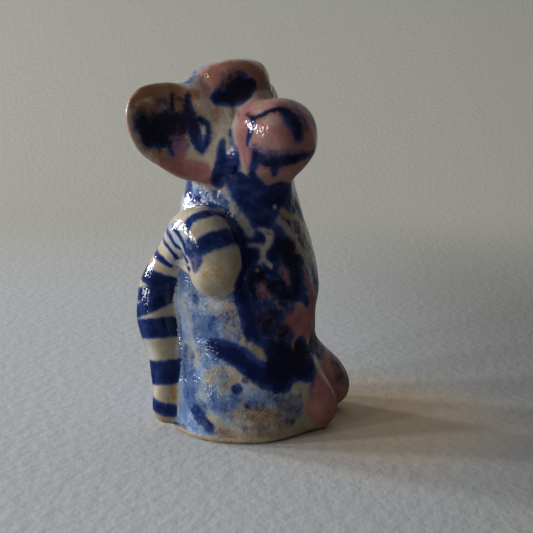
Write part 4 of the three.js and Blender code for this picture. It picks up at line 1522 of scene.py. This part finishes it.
glaze_tree, given, made = group(
    "painted_glaze",
    {"Ground": "Color", "Shade": "Color", "Wander": "Float", "Wash": "Float"},
    {"Colour": "Color", "Roughness": "Float", "Height": "Float"},
)
place = node(glaze_tree, "ShaderNodeTexCoord").outputs["Object"]
mottle = noise(glaze_tree, place, MOTTLE_SCALE, 4.0)
cloud = smooth_range(glaze_tree, mottle, *MOTTLE_RANGE)
grit = noise(glaze_tree, place, GRIT_SCALE, 3.0, 0.7)
tint = mix(glaze_tree, cloud, given["Ground"], given["Shade"])
print("group", glaze_tree.name, "begins with", len(glaze_tree.nodes), "nodes")

# %% Painted glaze: the pigments in their order
TINTS = {
    "thin sky": colour(142, 165, 191),
    "deep sky": colour(74, 106, 154),
    "olive drift": colour(116, 118, 108),
    "pale pink": colour(156, 106, 105),
    "deep pink": colour(136, 87, 85),
    "umber": colour(120, 85, 63),
    "ochre": colour(150, 121, 77),
    "thin cobalt": colour(42, 62, 114),
    "deep cobalt": colour(14, 22, 62),
    "smoke": colour(18, 15, 18),
}
EDGES = {
    "sky": (4.6, 4.0, 330.0),
    "pink": (2.0, 1.2, 520.0),
    "umber": (2.4, 1.6, 420.0),
    "ochre": (3.0, 2.4, 520.0),
    "cobalt": (given["Wander"], 1.2, 620.0),
}
DRIFT_SCALE = 170.0
DRIFT_RANGE = (0.48, 0.62)
DRIFT_SHARE = 0.5
SMOKE_SHARE = 0.85


def masks(pigment):
    """The edge group on one stored pigment, with its wander, grain and scale; returns mask and density."""
    stroke_place = node(glaze_tree, "ShaderNodeAttribute", attribute_name=pigment).outputs["Fac"]
    links = dict(zip(("Stroke", "Wander", "Grain", "Scale"), (stroke_place, *EDGES[pigment])))
    edge = use_group(glaze_tree, edge_tree, links)
    return edge["Mask"], edge["Density"]


sky, sponge = masks("sky")
sky = math(glaze_tree, "MULTIPLY", sky, given["Wash"])
tint = mix(glaze_tree, sky, tint, mix(glaze_tree, sponge, TINTS["thin sky"], TINTS["deep sky"]))
drift = smooth_range(glaze_tree, noise(glaze_tree, place, DRIFT_SCALE, 5.0, 0.65), *DRIFT_RANGE)
drift = math(glaze_tree, "MULTIPLY", math(glaze_tree, "MULTIPLY", drift, sky), DRIFT_SHARE)
tint = mix(glaze_tree, drift, tint, TINTS["olive drift"])
pink, _ = masks("pink")
tint = mix(glaze_tree, pink, tint, mix(glaze_tree, cloud, TINTS["pale pink"], TINTS["deep pink"]))
umber, _ = masks("umber")
tint = mix(glaze_tree, umber, tint, TINTS["umber"])
ochre, _ = masks("ochre")
tint = mix(glaze_tree, ochre, tint, TINTS["ochre"])
cobalt, dense = masks("cobalt")
blue = mix(glaze_tree, dense, TINTS["thin cobalt"], TINTS["deep cobalt"])
smoke = math(glaze_tree, "MULTIPLY", umber, SMOKE_SHARE)
tint = mix(glaze_tree, cobalt, tint, mix(glaze_tree, smoke, blue, TINTS["smoke"]))
print(len(EDGES), "pigments stacked")

# %% Painted glaze: bare ring, gloss and height
BARE_CLAY = colour(178, 160, 128)
BARE_SHADE = colour(150, 132, 102)
BARE_WANDER = -0.0012
BARE_RANGE = (0.0009, 0.0003)
BARE_ROUGHNESS = 0.75
FOLD_ROUGHNESS = 0.6
GLOSS_RANGE = (0.3, 0.75, 0.05, 0.14)
RUN_SCALE = 300.0
PEEL_SHARE = 0.2


def mix_value(factor, a, b):
    """Number between a and b."""
    return node(glaze_tree, "ShaderNodeMix", {0: factor, 2: a, 3: b}, data_type="FLOAT").outputs[0]


height = node(glaze_tree, "ShaderNodeSeparateXYZ", {0: place}).outputs["Z"]
level = math(glaze_tree, "ADD", height, math(glaze_tree, "MULTIPLY", mottle, BARE_WANDER))
bare = smooth_range(glaze_tree, level, *BARE_RANGE)
tint = mix(glaze_tree, bare, tint, mix(glaze_tree, grit, BARE_CLAY, BARE_SHADE))
glaze_tree.links.new(tint, made["Colour"])
rough = mix_value(bare, smooth_range(glaze_tree, grit, *GLOSS_RANGE), BARE_ROUGHNESS)
in_fold = node(glaze_tree, "ShaderNodeAttribute", attribute_name="fold").outputs["Fac"]
glaze_tree.links.new(mix_value(in_fold, rough, FOLD_ROUGHNESS), made["Roughness"])
runs = noise(glaze_tree, place, RUN_SCALE, 3.0)
peel = math(glaze_tree, "MULTIPLY", noise(glaze_tree, place, GRIT_SCALE, 2.0), PEEL_SHARE)
glaze_tree.links.new(math(glaze_tree, "ADD", runs, peel), made["Height"])
print("group", glaze_tree.name, "has", len(glaze_tree.nodes), "nodes")

# %% [markdown]
# ## One glaze for each piece
# The six finishes share the group. They differ in their ground colour and its shade, in how far the cobalt
# wandered, in how strong the blue wash is, and in how high the glaze ran, in metres. The shader itself
# stays in the material, where its gloss can be read.

# %% Materials
FINISHES = {
    "body_glaze": ((166, 158, 144), (142, 134, 118), 2.4, 0.9, 0.0009),
    "head_glaze": ((170, 160, 144), (148, 136, 120), 2.0, 0.7, 0.0005),
    "muzzle_glaze": ((170, 160, 144), (148, 136, 120), 2.0, 0.5, 0.0005),
    "ear_glaze": ((170, 156, 140), (150, 134, 118), 2.2, 0.6, 0.0005),
    "tail_glaze": ((172, 162, 146), (150, 138, 116), 1.8, 0.7, 0.0004),
    "foot_glaze": ((166, 158, 144), (142, 134, 118), 2.2, 0.6, 0.0006),
}
SLOTS = {name: name.split("_")[0] + "_glaze" for name in PIECES}
GLAZE_IOR = 1.5
BUMP_STRENGTH = 0.5


def glaze_material(name, ground, shade, wander, wash, run_height):
    """Group colour, roughness and bump into one Principled shader with the refraction of glass."""
    material = bpy.data.materials.new(name)
    material.use_nodes = True
    tree = material.node_tree
    links = {"Ground": colour(*ground), "Shade": colour(*shade), "Wander": wander, "Wash": wash}
    coat = use_group(tree, glaze_tree, links)
    shader = tree.nodes["Principled BSDF"]
    shader.inputs["IOR"].default_value = GLAZE_IOR
    tree.links.new(coat["Colour"], shader.inputs["Base Color"])
    tree.links.new(coat["Roughness"], shader.inputs["Roughness"])
    links = {"Height": coat["Height"], "Strength": BUMP_STRENGTH, "Distance": run_height}
    bump = node(tree, "ShaderNodeBump", links)
    tree.links.new(bump.outputs[0], shader.inputs["Normal"])
    return material


materials = {name: glaze_material(name, *values) for name, values in FINISHES.items()}
for name, piece in objects.items():
    piece.data.materials.append(materials[SLOTS[name]])
    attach(piece, "root")
    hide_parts(name)
print("materials:", ", ".join(materials))

# %% [markdown]
# ## Paper sweep
# The ornament stands on pale textured paper that curves up behind it. The camera sees the paper pale, but
# in front of the ornament it throws little light back into the glaze, as in a dim room, so the right side
# falls dark and the glaze stays deep. The paper's colour also carries painted light: painted shade on the
# wall's left, on the table's right and far towards the window, and a painted warm bounce that makes the
# table paler and warmer in the ornament's shadow.

# %% Floor
SWEEP_WIDTH = 1600
SWEEP_FRONT = 500
SWEEP_BACK = 260
SWEEP_BEND = 300
SWEEP_WALL = 700


def sweep_grid(columns=9, rows=24):
    """A profile of floor, quarter bend and wall, carried sideways across the picture."""
    bend = np.radians(np.linspace(0, 90, rows))
    wall = SWEEP_BACK + SWEEP_BEND
    away = np.concatenate(((-SWEEP_FRONT,), SWEEP_BACK + SWEEP_BEND * np.sin(bend), (wall,)))[:, None, None]
    rise = np.concatenate(((0,), SWEEP_BEND * (1 - np.cos(bend)), (SWEEP_BEND + SWEEP_WALL,)))[:, None, None]
    across = np.linspace(-SWEEP_WIDTH / 2, SWEEP_WIDTH / 2, columns)[None, :, None]
    return -to_camera * away + picture_right * across + UP * rise


sweep = sweep_grid()
rows, columns = sweep.shape[:2]
corner = np.arange(rows * columns).reshape(rows, columns)
quads = np.stack((corner[:-1, :-1], corner[:-1, 1:], corner[1:, 1:], corner[1:, :-1]), -1).reshape(-1, 4)
floor_mesh = bpy.data.meshes.new("paper_sweep")
floor_mesh.from_pydata(to_frame(sweep.reshape(-1, 3)).tolist(), [], quads.tolist())
floor_mesh.polygons.foreach_set("use_smooth", np.ones(len(quads), bool))
floor = bpy.data.objects.new("paper_sweep", floor_mesh)
bpy.context.scene.collection.objects.link(floor)
print("paper sweep of", len(quads), "quads")

# %% Paper
# Painted shade: the wall's colour is darker on the left, where the window lights it most.
LEFT_WALL_PAINTED_SHADE, WALL_RIGHT = colour(160, 158, 151), colour(171, 170, 162)
# Painted shade: the table's colour is darker on the right, away from the window.
TABLE_LEFT, RIGHT_TABLE_PAINTED_SHADE = colour(170, 173, 176), colour(132, 131, 130)
# Painted light: a paler, warmer table colour in the ornament's shadow stands for warm bounced light.
PAINTED_WARM_BOUNCE = colour(172, 156, 134)
# Painted shade: far towards the window the paper's colour turns dark.
WINDOWSIDE_PAINTED_SHADE = colour(62, 62, 61)
MIRRORED_TABLE = colour(60, 60, 60)
WALL_BEHIND = (0.05, 0.3)
WALL_SHADE_RANGE = (-0.22, 0.14)
TABLE_SHADE_RANGE = (-0.02, 0.09)
BOUNCE_REACH = 24
BOUNCE_FADE = (0.036, 0.006)
WINDOW_SHADE_RANGE = (-0.24, -0.6)
PAPER_ROUGHNESS = 0.9
TOOTH_SCALE = 420.0
TOOTH_STRENGTH = 0.35
TOOTH_HEIGHT = 0.0006

paper = bpy.data.materials.new("pale_paper")
paper.use_nodes = True
tree = paper.node_tree
place = node(tree, "ShaderNodeTexCoord").outputs["Object"]


def measured(operation, vector):
    """How far a place on the paper lies along a direction, or from a point."""
    return node(tree, "ShaderNodeVectorMath", {0: place, 1: vector}, operation=operation).outputs["Value"]


def fade(operation, vector, limits):
    """Zero to one between two such measures."""
    return smooth_range(tree, measured(operation, vector), *limits)


behind = fade("DOT_PRODUCT", -to_camera, WALL_BEHIND)
wall = mix(tree, fade("DOT_PRODUCT", picture_right, WALL_SHADE_RANGE), LEFT_WALL_PAINTED_SHADE, WALL_RIGHT)
table = mix(tree, fade("DOT_PRODUCT", picture_right, TABLE_SHADE_RANGE), TABLE_LEFT, RIGHT_TABLE_PAINTED_SHADE)
table = mix(tree, fade("DISTANCE", to_frame(picture_right * BOUNCE_REACH), BOUNCE_FADE), table, PAINTED_WARM_BOUNCE)
pale = mix(tree, behind, table, wall)
pale = mix(tree, fade("DOT_PRODUCT", picture_right, WINDOW_SHADE_RANGE), pale, WINDOWSIDE_PAINTED_SHADE)
mirrored = node(tree, "ShaderNodeLightPath").outputs["Is Glossy Ray"]
dim = math(tree, "MULTIPLY", mirrored, math(tree, "SUBTRACT", 1.0, behind))
tooth = noise(tree, place, TOOTH_SCALE, 2.0)
bump = node(tree, "ShaderNodeBump", {"Height": tooth, "Strength": TOOTH_STRENGTH, "Distance": TOOTH_HEIGHT})
shader = tree.nodes["Principled BSDF"]
shader.inputs["Roughness"].default_value = PAPER_ROUGHNESS
shader.inputs["Specular IOR Level"].default_value = 0.0
tree.links.new(mix(tree, dim, pale, MIRRORED_TABLE), shader.inputs["Base Color"])
tree.links.new(bump.outputs[0], shader.inputs["Normal"])
floor_mesh.materials.append(paper)
print("paper with", len(tree.nodes), "nodes")

# %% [markdown]
# ## Window, ceiling and room
# A tall window of five panes stands to the left, weaker where it comes round to the front, and its bars
# split the highlights. A wide dim ceiling fills the shadows without being mirrored in the glaze, and the
# room gives a little light from everywhere.

# %% Window and world
WINDOW_DISTANCE = 1200
WINDOW_RISE = np.radians(17)
WINDOW_TURNS = CAMERA_TURN - np.radians((46, 64, 82, 100, 116))
PANE_WIDTH = 0.09
PANE_HEIGHT = 0.4
PANE_POWERS = (1.9, 3.6, 6.2, 7.3, 7.3)
CEILING_TURN = CAMERA_TURN + np.radians(150)
CEILING_RISE = np.radians(72)
CEILING_DISTANCE = 1000
CEILING_SIDE = 1.0
CEILING_POWER = 2.2
AIM_HEIGHT = 35
ROOM_COLOUR = colour(250, 250, 252)
ROOM_STRENGTH = 0.1
ROOM_MIRRORED = 0.03


def area_light(name, turn_angle, rise, distance, size, power):
    """A rectangle lamp at a turn and rise seen from the figure's middle, facing it."""
    lamp = bpy.data.lights.new(name, "AREA")
    lamp.shape = "RECTANGLE"
    lamp.size, lamp.size_y = size
    lamp.energy = power
    out = np.array((np.sin(turn_angle) * np.cos(rise), -np.cos(turn_angle) * np.cos(rise), np.sin(rise)))
    side = unit(np.cross(UP, out))
    matrix = np.eye(4)
    matrix[:3, :3] = np.stack((side, np.cross(out, side), out), axis=1)
    matrix[:3, 3] = to_frame(out * distance + UP * AIM_HEIGHT)
    holder = bpy.data.objects.new(name, lamp)
    holder.matrix_world = matrix.T.tolist()
    bpy.context.scene.collection.objects.link(holder)
    return holder


for count, (turn_angle, power) in enumerate(zip(WINDOW_TURNS, PANE_POWERS)):
    area_light(f"pane_{count}", turn_angle, WINDOW_RISE, WINDOW_DISTANCE, (PANE_WIDTH, PANE_HEIGHT), power)
ceiling_size = (CEILING_SIDE, CEILING_SIDE)
ceiling = area_light("ceiling", CEILING_TURN, CEILING_RISE, CEILING_DISTANCE, ceiling_size, CEILING_POWER)
ceiling.visible_glossy = False

world = bpy.data.worlds.new("room")
world.use_nodes = True
room = world.node_tree
background = room.nodes["Background"]
background.inputs["Color"].default_value = ROOM_COLOUR
mirrored = node(room, "ShaderNodeLightPath").outputs["Is Glossy Ray"]
strength = smooth_range(room, mirrored, 0.0, 1.0, ROOM_STRENGTH, ROOM_MIRRORED)
room.links.new(strength, background.inputs["Strength"])
bpy.context.scene.world = world
bpy.context.scene.view_settings.view_transform = "Standard"
print(len(WINDOW_TURNS), "panes, a ceiling and a dim world")
